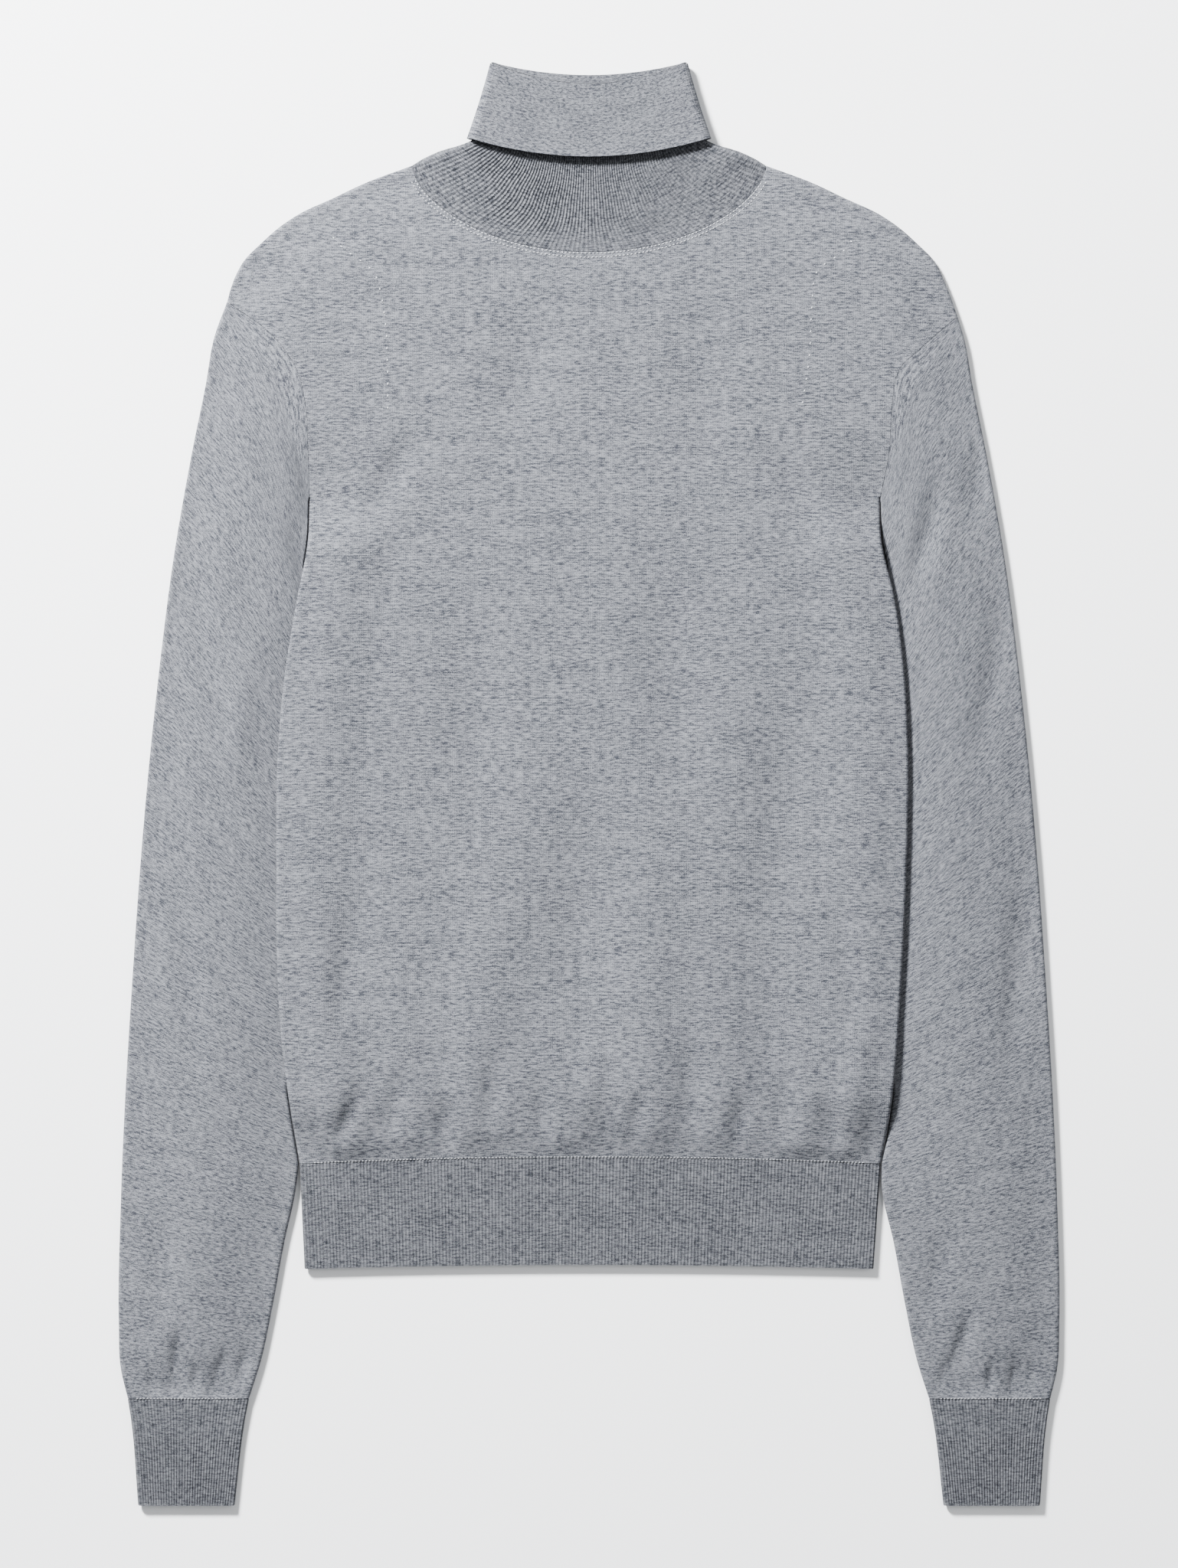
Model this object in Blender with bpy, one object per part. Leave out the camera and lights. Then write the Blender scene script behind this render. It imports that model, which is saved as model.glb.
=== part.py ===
"""A fine-knit turtleneck sweater, laid flat on its back with its sleeves beside and partly under the body.

Blender script: blender --background --python part.py
Row frame: metres, +Z up off the surface it lies on, +Y towards the neck, +X towards the wearer's left.
The tables are in millimetres and are turned into metres once, where a mesh is made.

Every piece is a wall of cloth. Its outer face is a grid of points over the piece's flat outline, and its inner
face is the same grid moved in by the cloth's thickness. Where a piece turns round a fold, the grid's first columns
follow a quarter circle. Pieces that are sewn together share the columns along their seam and stop short of it.
"""

import math

import bpy
import numpy as np

MM = 0.001

# Cloth
JERSEY = 1.4  # thickness of the plain knit of the body and sleeves
RIB = 1.8  # thickness of the double knit of the collar, waistband and cuffs
SEAM_GAP = 0.3  # between two pieces at their seam
FOLD = 4.6  # height of the flattened tube at a folded edge, two layers and the air between
FOLD_RADIUS = FOLD / 2
PUFF = 4.0  # how much higher the upper layer lies away from the folds
PUFF_REACH = 28.0  # how far from a fold the upper layer takes to come up
LIFT = 5.8  # how far the body's edges are raised by the sleeves under them
LIFT_FLAT, LIFT_END = 14.0, 58.0  # the raised strip's width, and where it has come down to the surface
TUCK = 10.0  # how far a sleeve reaches under the body
SLEEVE_CLEARANCE = 0.6  # between a sleeve and the body beside it, where it isn't under it

# Fold columns: the distances from an edge at which the quarter circle's points lie
FOLD_STEPS = [FOLD_RADIUS * (1 - math.cos(math.radians(a))) for a in (0, 45, 90)]

# The body's folded side edges, from the waistband's seam up to the underarm
SIDE = {  # columns: y, x of the wearer's right edge, x of the wearer's left edge
    "y": [-233, -205, -170, -125, -50, 20, 70, 115, 150, 175],
    "right": [-177.5, -182, -187, -190.5, -191.5, -190.5, -186, -178.5, -172, -171.5],
    "left": [179.0, 184, 188, 191.0, 194.5, 195.5, 193, 187, 179, 178.5],
}
# The seams between body and sleeve, from the underarm to the point of the shoulder
ARMHOLE = {
    "right": [(-171.5, 175), (-172, 205), (-173.5, 232), (-180, 256), (-193, 274), (-222, 296)],
    "left": [(178.5, 175), (184, 205), (185.5, 232), (190, 254), (203, 267), (226, 287)],
}
# The shoulder line from its point to the collar; it is the same on both sides, apart from its first point
SHOULDER = [(219.5, 305), (211, 322), (202, 331), (191.5, 340.5), (177.5, 350), (158, 359), (138, 368.5), (108.5, 379.5)]
NECK_HALF_WIDTH, NECK_Y = SHOULDER[-1]
NECK_DROP_FRONT, NECK_DROP_BACK = 53.5, 5.0
NECK_ROUNDNESS = 0.6  # exponent of the neckline's curve

# The waistband
HEM_SEAM_RISE = 4.0  # how much higher the seam lies at the middle than at its ends
BAND_BOTTOM_Y = -297.5
BAND_BOTTOM_HALF_WIDTH = 174.5
BAND_BOTTOM_RISE = 2.5

# The sleeve, for the wearer's left; the right one is its mirror image except where it meets the body
SLEEVE_OUTER = {
    "y": [274, 246, 204, 138, 72, 6, -59, -125, -191, -261, -331, -358, -377],
    "x": [230, 235, 243.5, 255, 263.5, 270.5, 276, 280.5, 284.5, 287.4, 288.5, 287.4, 283.0],
}
SLEEVE_INNER_LOWER = {"y": [-247, -282, -320, -355, -377], "x": [179.6, 187, 194, 201.5, 208.5]}
STATIONS_BELOW_BODY = [-279, -318, -350, -377]  # y of the sleeve's last rows at its inner edge
CUFF_SEAM_Y = -377.0
CUFF = {"y": [-377.0, -390.0, -442.7], "outer": [283.0, 281.0, 276.6], "inner": [208.5, 211.0, 217.4]}

# The collar's rib tube, as the middle of its wall, from the neck seam up, over the fold and down to its free edge
COLLAR = {
    "half_width": [92.0, 77.0, 67.0, 61.0, 58.5, 57.8, 58.1, 59.0, 59.8, 60.1, 63.0, 67.5, 71.5, 74.1],
    "side_y": [387.0, 391.5, 397.0, 406.0, 422.0, 440.6, 441.4, 441.8, 441.4, 440.6, 430.0, 415.0, 403.0, 395.5],
    "front_drop": [45.5, 35.0, 29.0, 24.0, 20.0, 13.0, 13.0, 13.0, 13.0, 13.0, 13.0, 12.0, 11.5, 11.5],
    "back_drop": [5.0, 5.0, 5.0, 5.5, 6.5, 7.5, 7.5, 7.5, 7.5, 7.5, 7.0, 6.5, 6.0, 6.0],
    "front_z": [7.3, 6.8, 6.4, 6.0, 6.0, 6.0, 6.3, 7.15, 8.0, 8.3, 8.6, 9.1, 10.0, 11.0],
    "back_z": [1.4, 3.1, 3.2, 3.2, 3.2, 3.2, 2.9, 2.05, 1.2, 0.9, 0.9, 0.9, 0.9, 0.9],
}

# The upper layer's largest folds: they start at a band's or a cuff's seam, run up from it and fade
BODY_FOLDS = {  # columns: x at the seam, lean of the fold in x over its length, length, half width, height
    "x": [-150, -112, -66, -18, 34, 84, 128, 160],
    "lean": [-16, -10, 6, -4, 8, -6, 14, 12],
    "length": [150, 230, 300, 240, 330, 260, 170, 120],
    "half_width": [17, 19, 22, 20, 24, 20, 18, 14],
    "height": [2.4, 1.8, 2.6, 2.0, 2.8, 2.2, 2.4, 2.0],
}
SLEEVE_FOLDS = {  # a height below nought is a trough
    "right": {"x": [-253, -224], "lean": [4, -3], "length": [60, 45], "half_width": [9, 8], "height": [-2.2, -1.6]},
    "left": {"x": [233, 263], "lean": [-9, 2], "length": [68, 45], "half_width": [9, 8], "height": [-2.4, -1.6]},
}
DEEPEST_FOLD = 1.2  # how far a trough may bring the upper layer down below its height at a folded edge


# ---- curves ---------------------------------------------------------------------------------------------------


def smooth_value(at, xs, ys):
    """ys over xs as a smooth curve through the table's points, read at the values at."""
    order = np.argsort(xs)
    xs, ys = np.asarray(xs, float)[order], np.asarray(ys, float)[order]
    slope = np.gradient(ys, xs)
    at = np.clip(np.asarray(at, float), xs[0], xs[-1])
    i = np.clip(np.searchsorted(xs, at) - 1, 0, len(xs) - 2)
    h = xs[i + 1] - xs[i]
    t = (at - xs[i]) / h
    return (
        (2 * t**3 - 3 * t**2 + 1) * ys[i]
        + (t**3 - 2 * t**2 + t) * h * slope[i]
        + (3 * t**2 - 2 * t**3) * ys[i + 1]
        + (t**3 - t**2) * h * slope[i + 1]
    )


def smooth_path(points, per_span=8):
    """A smooth line through the points, close enough together to be read by its length."""
    points = np.asarray(points, float)
    along = length_along(points)
    at = np.concatenate([np.linspace(a, b, per_span, endpoint=False) for a, b in zip(along, along[1:])] + [along[-1:]])
    return np.stack([smooth_value(at, along, points[:, k]) for k in range(2)], axis=1)


def length_along(points):
    return np.concatenate([[0], np.cumsum(np.linalg.norm(np.diff(points, axis=0), axis=1))])


def on_path(path, distances):
    """Points of the path at these distances from its start."""
    along = length_along(path)
    return np.stack([np.interp(distances, along, path[:, k]) for k in range(2)], axis=1)


def with_fold_steps(length, middle):
    """Distances from 0 to length: the fold's steps at both ends, and that many equal spans between them."""
    first, last = FOLD_STEPS[-1], length - FOLD_STEPS[-1]
    between = np.linspace(first, last, middle + 1)[1:-1]
    return np.concatenate([FOLD_STEPS, between, [length - step for step in reversed(FOLD_STEPS)]])


def nearest_edge(points, edges, inside):
    """How far each point is from the nearest of these lines, and the flat direction from that line into the piece."""
    best = np.full(len(points), np.inf)
    away = np.zeros((len(points), 2))
    for line in edges:
        for a, b in zip(line, line[1:]):
            d = b - a
            t = np.clip((points - a) @ d / (d @ d), 0, 1)
            offset = points - a - t[:, None] * d
            far = np.linalg.norm(offset, axis=1)
            normal = np.array([-d[1], d[0]]) / np.linalg.norm(d)
            side = np.sign((inside - a) @ normal)
            direction = np.where(far[:, None] > 1e-6, offset / np.maximum(far, 1e-9)[:, None], side * normal)
            closer = far < best
            best[closer], away[closer] = far[closer], direction[closer]
    return best, away


def ease(t):
    t = np.clip(t, 0, 1)
    return t * t * (3 - 2 * t)


# ---- the body's flat outline ----------------------------------------------------------------------------------


def neckline(drop, left_to_right_steps=60):
    """The neck seam from the wearer's right to the left, hanging by drop at its middle."""
    angle = np.linspace(math.pi, 0, left_to_right_steps + 1)
    s = np.cos(angle)
    y = NECK_Y - drop * np.maximum(1 - s * s, 0) ** NECK_ROUNDNESS
    return np.stack([NECK_HALF_WIDTH * s, y], axis=1)


def side_path(side):
    """The folded edge and then the armhole seam of one side, from the waistband up; and the length of the folded part."""
    y = np.linspace(SIDE["y"][0], SIDE["y"][-1], 60)
    folded = np.stack([smooth_value(y, SIDE["y"], SIDE[side]), y], axis=1)
    seam = smooth_path(ARMHOLE[side])
    return np.concatenate([folded, seam[1:]]), length_along(folded)[-1]


def shoulder_path(side):
    sign = 1 if side == "left" else -1
    return smooth_path([ARMHOLE[side][-1]] + [(sign * x, y) for x, y in SHOULDER])


ROWS_BELOW_ARM = 9
ROWS_BESIDE_ARM = 6
COLUMNS_SHOULDER = 5
COLUMNS_HALF_NECK = 4
BOWED_ROWS = 4  # how many rows down the sleeve still follow the armhole's curve
BODY_CENTRE = np.array([0.0, 60.0])
NECK_COLUMNS = slice(len(FOLD_STEPS) + COLUMNS_SHOULDER - 1, 1 - len(FOLD_STEPS) - COLUMNS_SHOULDER)


def side_distances(side):
    """The grid's rows along one side: from the waistband to the underarm, and from there to the shoulder."""
    path, folded = side_path(side)
    seam = length_along(path)[-1] - folded
    return np.concatenate([np.linspace(0, folded, ROWS_BELOW_ARM + 1)[:-1], folded + with_fold_steps(seam, ROWS_BESIDE_ARM)])


def top_points(drop):
    """The grid's columns along the top: the right shoulder, the neckline and the left shoulder."""
    shoulders = {}
    for side in ("right", "left"):
        path = shoulder_path(side)
        far = length_along(path)[-1]
        steps = np.concatenate([FOLD_STEPS, np.linspace(FOLD_STEPS[-1], far, COLUMNS_SHOULDER + 1)[1:]])
        shoulders[side] = on_path(path, steps)
    neck = neckline(drop)
    middle = on_path(neck, with_fold_steps(length_along(neck)[-1], 2 * COLUMNS_HALF_NECK))
    return np.concatenate([shoulders["right"], middle[1:-1], shoulders["left"][::-1]])


def hem_points():
    """The waistband's seam, with the columns spread as they are along the front's top edge."""
    top = top_points(NECK_DROP_FRONT)
    ends = [SIDE["right"][0], SIDE["left"][0]]
    along = length_along(top)
    inner = slice(len(FOLD_STEPS), len(top) - len(FOLD_STEPS))
    share = (along[inner] - FOLD_STEPS[-1]) / (along[-1] - 2 * FOLD_STEPS[-1])
    even = np.linspace(0, 1, len(share) + 2)[1:-1]
    share = 0.35 * share + 0.65 * even
    x = np.concatenate(
        [
            [ends[0] + step for step in FOLD_STEPS],
            ends[0] + FOLD_STEPS[-1] + share * (ends[1] - ends[0] - 2 * FOLD_STEPS[-1]),
            [ends[1] - step for step in reversed(FOLD_STEPS)],
        ]
    )
    s = (2 * x - ends[0] - ends[1]) / (ends[1] - ends[0])
    return np.stack([x, SIDE["y"][0] + HEM_SEAM_RISE * (1 - s * s)], axis=1)


def body_grid(drop):
    """The flat outline of the front or back as a grid of points, rows from the waistband up."""
    bottom, top = hem_points(), top_points(drop)
    sides = {}
    for side in ("right", "left"):
        path, _ = side_path(side)
        sides[side] = on_path(path, side_distances(side))
    right, left = sides["right"], sides["left"]
    rows = side_distances("right") / side_distances("right")[-1]
    t = rows[:, None, None]
    s = np.linspace(0, 1, len(bottom))
    from_side = length_along(bottom)
    s = (from_side / from_side[-1])[:, None]
    grid = (1 - t) * bottom[None] + t * top[None] + (1 - s) * right[:, None] + s * left[:, None]
    grid -= (1 - t) * (1 - s) * bottom[0] + (1 - t) * s * bottom[-1] + t * (1 - s) * top[0] + t * s * top[-1]
    for k, step in enumerate(FOLD_STEPS):  # the fold's columns keep their distance from the side all the way up
        grid[1:-1, k] = right[1:-1] + np.array([step, 0])
        grid[1:-1, -1 - k] = left[1:-1] - np.array([step, 0])
    between = slice(len(FOLD_STEPS), -len(FOLD_STEPS))
    for k, step in enumerate(FOLD_STEPS):  # and the fold's rows keep theirs from the shoulders
        grid[-1 - k, between] = (top + step * into_body(top))[between]
    return grid


def into_body(top):
    """The way from the top edge into the body: as far down as makes it 1 from a shoulder, and clear of the neckline."""
    along = np.gradient(top, axis=0)
    down = np.linalg.norm(along, axis=1) / np.abs(along[:, 0])
    lean = np.zeros(len(top))
    down[NECK_COLUMNS] = 1
    lean[NECK_COLUMNS] = 0.5 * np.sign(top[NECK_COLUMNS, 0]) * (top[NECK_COLUMNS, 0] / NECK_HALF_WIDTH) ** 4
    return np.stack([lean, -down], axis=1)


def set_back(line, towards):
    """The seam's points moved half the seam's gap square to it, to the side on which the point towards lies."""
    along = np.gradient(line, axis=0)
    square = np.stack([-along[:, 1], along[:, 0]], axis=1)
    square /= np.linalg.norm(square, axis=1)[:, None]
    middle = len(line) // 2
    side = np.sign((np.asarray(towards) - line[middle]) @ square[middle])
    return line + side * square * SEAM_GAP / 2


def clear_of_seams(grid):
    """The body's grid set back from the waistband, the collar and the sleeves; its folded edges stay."""
    moved = grid.copy()
    moved[0] = set_back(grid[0], BODY_CENTRE)
    moved[-1, NECK_COLUMNS] = set_back(grid[-1, NECK_COLUMNS], BODY_CENTRE)
    for column in (0, -1):
        moved[ROWS_BELOW_ARM:, column] = set_back(grid[ROWS_BELOW_ARM:, column], BODY_CENTRE)
    return moved


# ---- heights --------------------------------------------------------------------------------------------------


def body_edges():
    """The folded edges of the body: its two sides below the underarms and its two shoulder lines."""
    edges = []
    for side in ("right", "left"):
        path, folded = side_path(side)
        edges.append(path[length_along(path) <= folded + 1e-6])
        edges.append(shoulder_path(side))
    return edges


def lifted(points):
    """How far the body is raised at these points by the sleeves under its edges."""
    x, y = points[:, 0], points[:, 1]
    right = x - smooth_value(y, SIDE["y"], SIDE["right"])
    left = smooth_value(y, SIDE["y"], SIDE["left"]) - x
    inwards = 1 - ease((np.minimum(right, left) - LIFT_FLAT) / (LIFT_END - LIFT_FLAT))
    upwards = ease((175 - y) / 33) * ease((y + 231) / 42)
    return LIFT * inwards * upwards


def folds(points, table, seam_y):
    """The height that the largest folds above this seam add to the upper layer."""
    x, y = points[:, 0], points[:, 1]
    height = np.zeros(len(points))
    for x0, lean, length, half_width, high in zip(*table.values()):
        up = (y - seam_y) / length
        across = (x - x0 - lean * up) / half_width
        fade = ease(up / 0.08) * (1 - ease((up - 0.15) / 0.85))
        height += high * np.exp(-across * across) * fade
    return height


def puffed(distance, pressed):
    """The height of the upper layer above a folded edge; pressed is 1 where a band or cuff holds it down."""
    return PUFF * (1 - np.exp(-((distance / PUFF_REACH) ** 2))) * (1 - 0.8 * pressed)


def fold_height(distance):
    """Sine and cosine of the quarter circle at this distance from a folded edge."""
    cosine = np.clip(1 - distance / FOLD_RADIUS, 0, 1)
    return np.sqrt(1 - cosine * cosine), cosine


def layer(flat, distance, away, extra, base, upper, thickness):
    """Outer and inner points of one layer over the flat points, which lie at this distance from a folded edge.

    away is the flat direction from that edge, base the height of what is underneath, and extra how much higher than
    at its folded edge an upper layer lies.
    """
    sine, cosine = fold_height(distance)
    rise = np.maximum(FOLD_RADIUS * sine, SEAM_GAP / 2)  # two layers that meet at a folded edge stop short of it
    turn = 1 if upper else -1
    height = base + FOLD_RADIUS + turn * rise + (extra if upper else 0)
    outer = np.column_stack([flat, height])
    inner = outer + thickness * np.column_stack([away * cosine[:, None], -turn * sine])
    return outer, inner


# ---- meshes ---------------------------------------------------------------------------------------------------


def knit_material(name, colour, roughness):
    material = bpy.data.materials.new(name)
    material.use_nodes = True
    shader = material.node_tree.nodes["Principled BSDF"]
    shader.inputs["Base Color"].default_value = (*colour, 1)
    shader.inputs["Roughness"].default_value = roughness
    shader.inputs["Metallic"].default_value = 0
    shader.inputs["Sheen Weight"].default_value = 0.3
    return material


def cloth_wall(name, outer, inner, material, closed):
    """One closed solid between an outer and an inner grid of points. closed joins the last column to the first."""
    rows, columns = outer.shape[:2]
    points = np.concatenate([outer.reshape(-1, 3), inner.reshape(-1, 3)]) * MM
    count = rows * columns
    spans = columns if closed else columns - 1
    at = lambda r, c, side: side * count + r * columns + c % columns
    faces = []
    for r in range(rows - 1):
        for c in range(spans):
            faces.append((at(r, c, 0), at(r, c + 1, 0), at(r + 1, c + 1, 0), at(r + 1, c, 0)))
            faces.append((at(r, c, 1), at(r + 1, c, 1), at(r + 1, c + 1, 1), at(r, c + 1, 1)))
    for c in range(spans):
        faces.append((at(0, c, 0), at(0, c, 1), at(0, c + 1, 1), at(0, c + 1, 0)))
        faces.append((at(rows - 1, c, 0), at(rows - 1, c + 1, 0), at(rows - 1, c + 1, 1), at(rows - 1, c, 1)))
    if not closed:
        for r in range(rows - 1):
            faces.append((at(r, 0, 0), at(r + 1, 0, 0), at(r + 1, 0, 1), at(r, 0, 1)))
            faces.append((at(r, columns - 1, 0), at(r, columns - 1, 1), at(r + 1, columns - 1, 1), at(r + 1, columns - 1, 0)))
    if signed_volume(points, faces) < 0:
        faces = [face[::-1] for face in faces]
    mesh = bpy.data.meshes.new(name)
    mesh.from_pydata(points.tolist(), [], faces)
    mesh.materials.append(material)
    mesh.update()
    mesh.shade_smooth()
    mesh.set_sharp_from_angle(angle=math.radians(40))
    piece = bpy.data.objects.new(name, mesh)
    bpy.context.scene.collection.objects.link(piece)
    return piece


def signed_volume(points, faces):
    corners = np.array([(face[0], face[i], face[i + 1]) for face in faces for i in (1, 2)])
    a, b, c = (points[corners[:, k]] for k in range(3))
    return float((a * np.cross(b, c)).sum() / 6)


# ---- pieces ---------------------------------------------------------------------------------------------------


def body_extra(points, distance):
    """How much higher than its folded edges the front lies."""
    pressed = 1 - ease((points[:, 1] - SIDE["y"][0]) / 45)
    ridges = folds(points, BODY_FOLDS, SIDE["y"][0]) * ease(distance / PUFF_REACH)
    return puffed(distance, pressed) + ridges


def build_body(material):
    for name, drop, upper in (("front", NECK_DROP_FRONT, True), ("back", NECK_DROP_BACK, False)):
        grid = body_grid(drop)
        flat = grid.reshape(-1, 2)
        distance, away = nearest_edge(flat, body_edges(), BODY_CENTRE)
        away.reshape(grid.shape)[-1, NECK_COLUMNS] = row_distance(grid[-1:, NECK_COLUMNS])[1]
        moved = clear_of_seams(grid).reshape(-1, 2)
        outer, inner = layer(moved, distance, away, body_extra(flat, distance), lifted(flat), upper, JERSEY)
        cloth_wall(name, as_grid(outer, grid), as_grid(inner, grid), material, closed=False)


def as_grid(points, grid):
    return points.reshape(*grid.shape[:2], 3)


def row_distance(grid):
    """How far along its row each point is from the nearer end, and the direction from that end into the row."""
    steps = np.linalg.norm(np.diff(grid, axis=1), axis=2)
    from_first = np.concatenate([np.zeros((len(grid), 1)), np.cumsum(steps, axis=1)], axis=1)
    from_last = from_first[:, -1:] - from_first
    along = np.gradient(grid, axis=1)
    along /= np.linalg.norm(along, axis=2)[:, :, None]
    nearer_first = (from_first <= from_last)[:, :, None]
    return np.minimum(from_first, from_last).reshape(-1), np.where(nearer_first, along, -along).reshape(-1, 2)


def flattened_tube(name, grid, moved, extra, material, thickness):
    """A tube that lies flat: an upper and a lower layer over one grid, whose rows run from fold to fold."""
    distance, away = row_distance(grid)
    base = np.zeros(len(distance))
    halves = []
    for upper in (True, False):
        walls = layer(moved.reshape(-1, 2), distance, away, extra, base, upper, thickness)
        halves.append([as_grid(wall, grid) for wall in walls])
    outer, inner = (closed_rows(upper, lower) for upper, lower in zip(*halves))
    cloth_wall(name, outer, inner, material, closed=True)


def closed_rows(upper, lower):
    """Rings made of the upper layer's rows and back along the lower layer's, joined at both folded edges."""
    ends = (upper[:, [0, -1]] + lower[:, [0, -1]]) / 2
    return np.concatenate([ends[:, :1], upper[:, 1:-1], ends[:, 1:], lower[:, -2:0:-1]], axis=1)


def build_waistband(material):
    top = hem_points()
    middle_x = (top[0, 0] + top[-1, 0]) / 2
    s = (top[:, 0] - middle_x) / (top[-1, 0] - middle_x)
    steps = len(FOLD_STEPS)
    bottom_x = s * BAND_BOTTOM_HALF_WIDTH
    bottom_x[:steps] = -BAND_BOTTOM_HALF_WIDTH + np.array(FOLD_STEPS)
    bottom_x[-steps:] = BAND_BOTTOM_HALF_WIDTH - np.array(FOLD_STEPS[::-1])
    bottom = np.stack([bottom_x, BAND_BOTTOM_Y + BAND_BOTTOM_RISE * (1 - s * s)], axis=1)
    shares = (0, 0.5, 1)
    grid = np.stack([bottom + (top - bottom) * share for share in shares])
    moved = grid.copy()
    moved[-1] = set_back(grid[-1], (0, BAND_BOTTOM_Y))
    distance, _ = nearest_edge(top, body_edges(), BODY_CENTRE)
    at_seam = body_extra(top, distance)
    extra = np.concatenate([at_seam * share for share in shares])
    flattened_tube("waistband", grid, moved, extra, material, RIB)


def sleeve_inner_points(side):
    """The inner folded edge of a sleeve at its rows: at the body's own rows, and then on down to the cuff."""
    sign = 1 if side == "left" else -1
    path, folded = side_path(side)
    beside = on_path(path, side_distances(side)[: ROWS_BELOW_ARM + 1])[::-1]
    y = beside[1:, 1]
    under = (TUCK + SLEEVE_CLEARANCE) * ease((138 - y) / 42) * ease((y + 194) / 50) - SLEEVE_CLEARANCE
    beside[1:, 0] -= sign * under
    last = beside[-1]
    ys = [last[1]] + SLEEVE_INNER_LOWER["y"]
    xs = [sign * last[0]] + SLEEVE_INNER_LOWER["x"]
    below = np.array(STATIONS_BELOW_BODY, float)
    return np.concatenate([beside, np.stack([sign * smooth_value(below, ys, xs), below], axis=1)])


def sleeve_outer_points(side, shares):
    """The outer folded edge of a sleeve, from the point of the shoulder, at these shares of its length."""
    sign = 1 if side == "left" else -1
    outer = smooth_path([ARMHOLE[side][-1]] + [(sign * x, y) for x, y in zip(SLEEVE_OUTER["x"], SLEEVE_OUTER["y"])])
    return on_path(outer, shares * length_along(outer)[-1])


def build_sleeve(side, material):
    inner = sleeve_inner_points(side)
    shares = length_along(inner) / length_along(inner)[-1]
    outer = sleeve_outer_points(side, shares)
    seam = smooth_path(ARMHOLE[side])[::-1]
    seam_steps = with_fold_steps(length_along(seam)[-1], ROWS_BESIDE_ARM)
    rows = [on_path(seam, seam_steps)]
    bow = rows[0] - rows[0][0] - (seam_steps / seam_steps[-1])[:, None] * (rows[0][-1] - rows[0][0])
    for a, b, share in zip(outer[1:], inner[1:], shares[1:]):
        width = np.linalg.norm(b - a)
        steps = with_fold_steps(width, ROWS_BESIDE_ARM)[:, None] / width
        rows.append(a + steps * (b - a) + bow * (1 - ease(share * len(shares) / BOWED_ROWS)) / 2)
    grid = np.stack(rows)
    moved = grid.copy()
    moved[0] = set_back(grid[0], grid[3, len(seam_steps) // 2])
    moved[-1, :, 1] += SEAM_GAP / 2
    flat = grid.reshape(-1, 2)
    distance, _ = row_distance(grid)
    pressed = 1 - ease((flat[:, 1] - CUFF_SEAM_Y) / 35)
    troughs = folds(flat, SLEEVE_FOLDS[side], CUFF_SEAM_Y) * ease(distance / PUFF_REACH * 2)
    extra = np.maximum(puffed(distance, pressed) + troughs, -DEEPEST_FOLD)
    flattened_tube(f"sleeve_{side}", grid, moved, extra, material, JERSEY)


def build_cuff(side, material):
    sign = 1 if side == "left" else -1
    rows = []
    for y, outer_x, inner_x in zip(*CUFF.values()):
        steps = with_fold_steps(outer_x - inner_x, ROWS_BESIDE_ARM)
        rows.append(np.stack([sign * (outer_x - steps), np.full(len(steps), y)], axis=1))
    grid = np.stack(rows)
    moved = grid.copy()
    moved[0, :, 1] -= SEAM_GAP / 2
    distance, _ = row_distance(grid)
    share = (grid[:, :, 1].reshape(-1) - CUFF["y"][-1]) / (CUFF["y"][0] - CUFF["y"][-1])
    flattened_tube(f"cuff_{side}", grid, moved, puffed(distance, 1) * share, material, RIB)


def neck_seam_rings():
    """The collar's first ring, along the neck seam of the front and of the back: its outer and its inner face."""
    halves, seams = [], []
    for drop, upper in ((NECK_DROP_FRONT, True), (NECK_DROP_BACK, False)):
        neck = neckline(drop)
        flat = on_path(neck, with_fold_steps(length_along(neck)[-1], 2 * COLUMNS_HALF_NECK))
        distance, _ = nearest_edge(flat, body_edges(), BODY_CENTRE)
        _, away = row_distance(flat[None])
        seams.append(set_back(flat, (0, NECK_Y)))
        halves.append(layer(seams[-1], distance, away, body_extra(flat, distance), lifted(flat), upper, RIB))
    outer, inner = (closed_ring(upper, lower) for upper, lower in zip(*halves))
    front, back = seams
    for end, ring_index in ((0, 0), (-1, len(front) - 1)):  # the corners are clear of the front and of the back
        outer[ring_index] = (front[end, 0], back[end, 1], FOLD_RADIUS)
        inner[ring_index] = outer[ring_index] + RIB * np.array([-0.95 * np.sign(front[end, 0]), 0.3, 0])
    return outer, inner


def collar_ring(half_width, side_y, front_drop, back_drop, front_z, back_z, columns):
    """One ring of the collar: a flattened oval whose front and back hang by their drops at the middle."""
    radius, middle_z = (front_z - back_z) / 2, (front_z + back_z) / 2
    straight = half_width - radius
    turn = [math.radians(a) for a in (0, 45, 90)]
    x = [-straight - radius * math.cos(a) for a in turn]
    x += list(np.linspace(-straight, straight, 2 * columns + 1)[1:-1])
    x += [straight + radius * math.cos(a) for a in reversed(turn)]
    rise = [radius * math.sin(a) for a in turn] + [radius] * (2 * columns - 1) + [radius * math.sin(a) for a in reversed(turn)]
    x, rise = np.array(x), np.array(rise)
    hang = 1 - (x / half_width) ** 2
    front = np.column_stack([x, side_y - front_drop * hang, middle_z + rise])
    back = np.column_stack([x, side_y - back_drop * hang, middle_z - rise])
    return front, back


def closed_ring(front, back):
    return closed_rows(front[None], back[None])[0]


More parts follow.
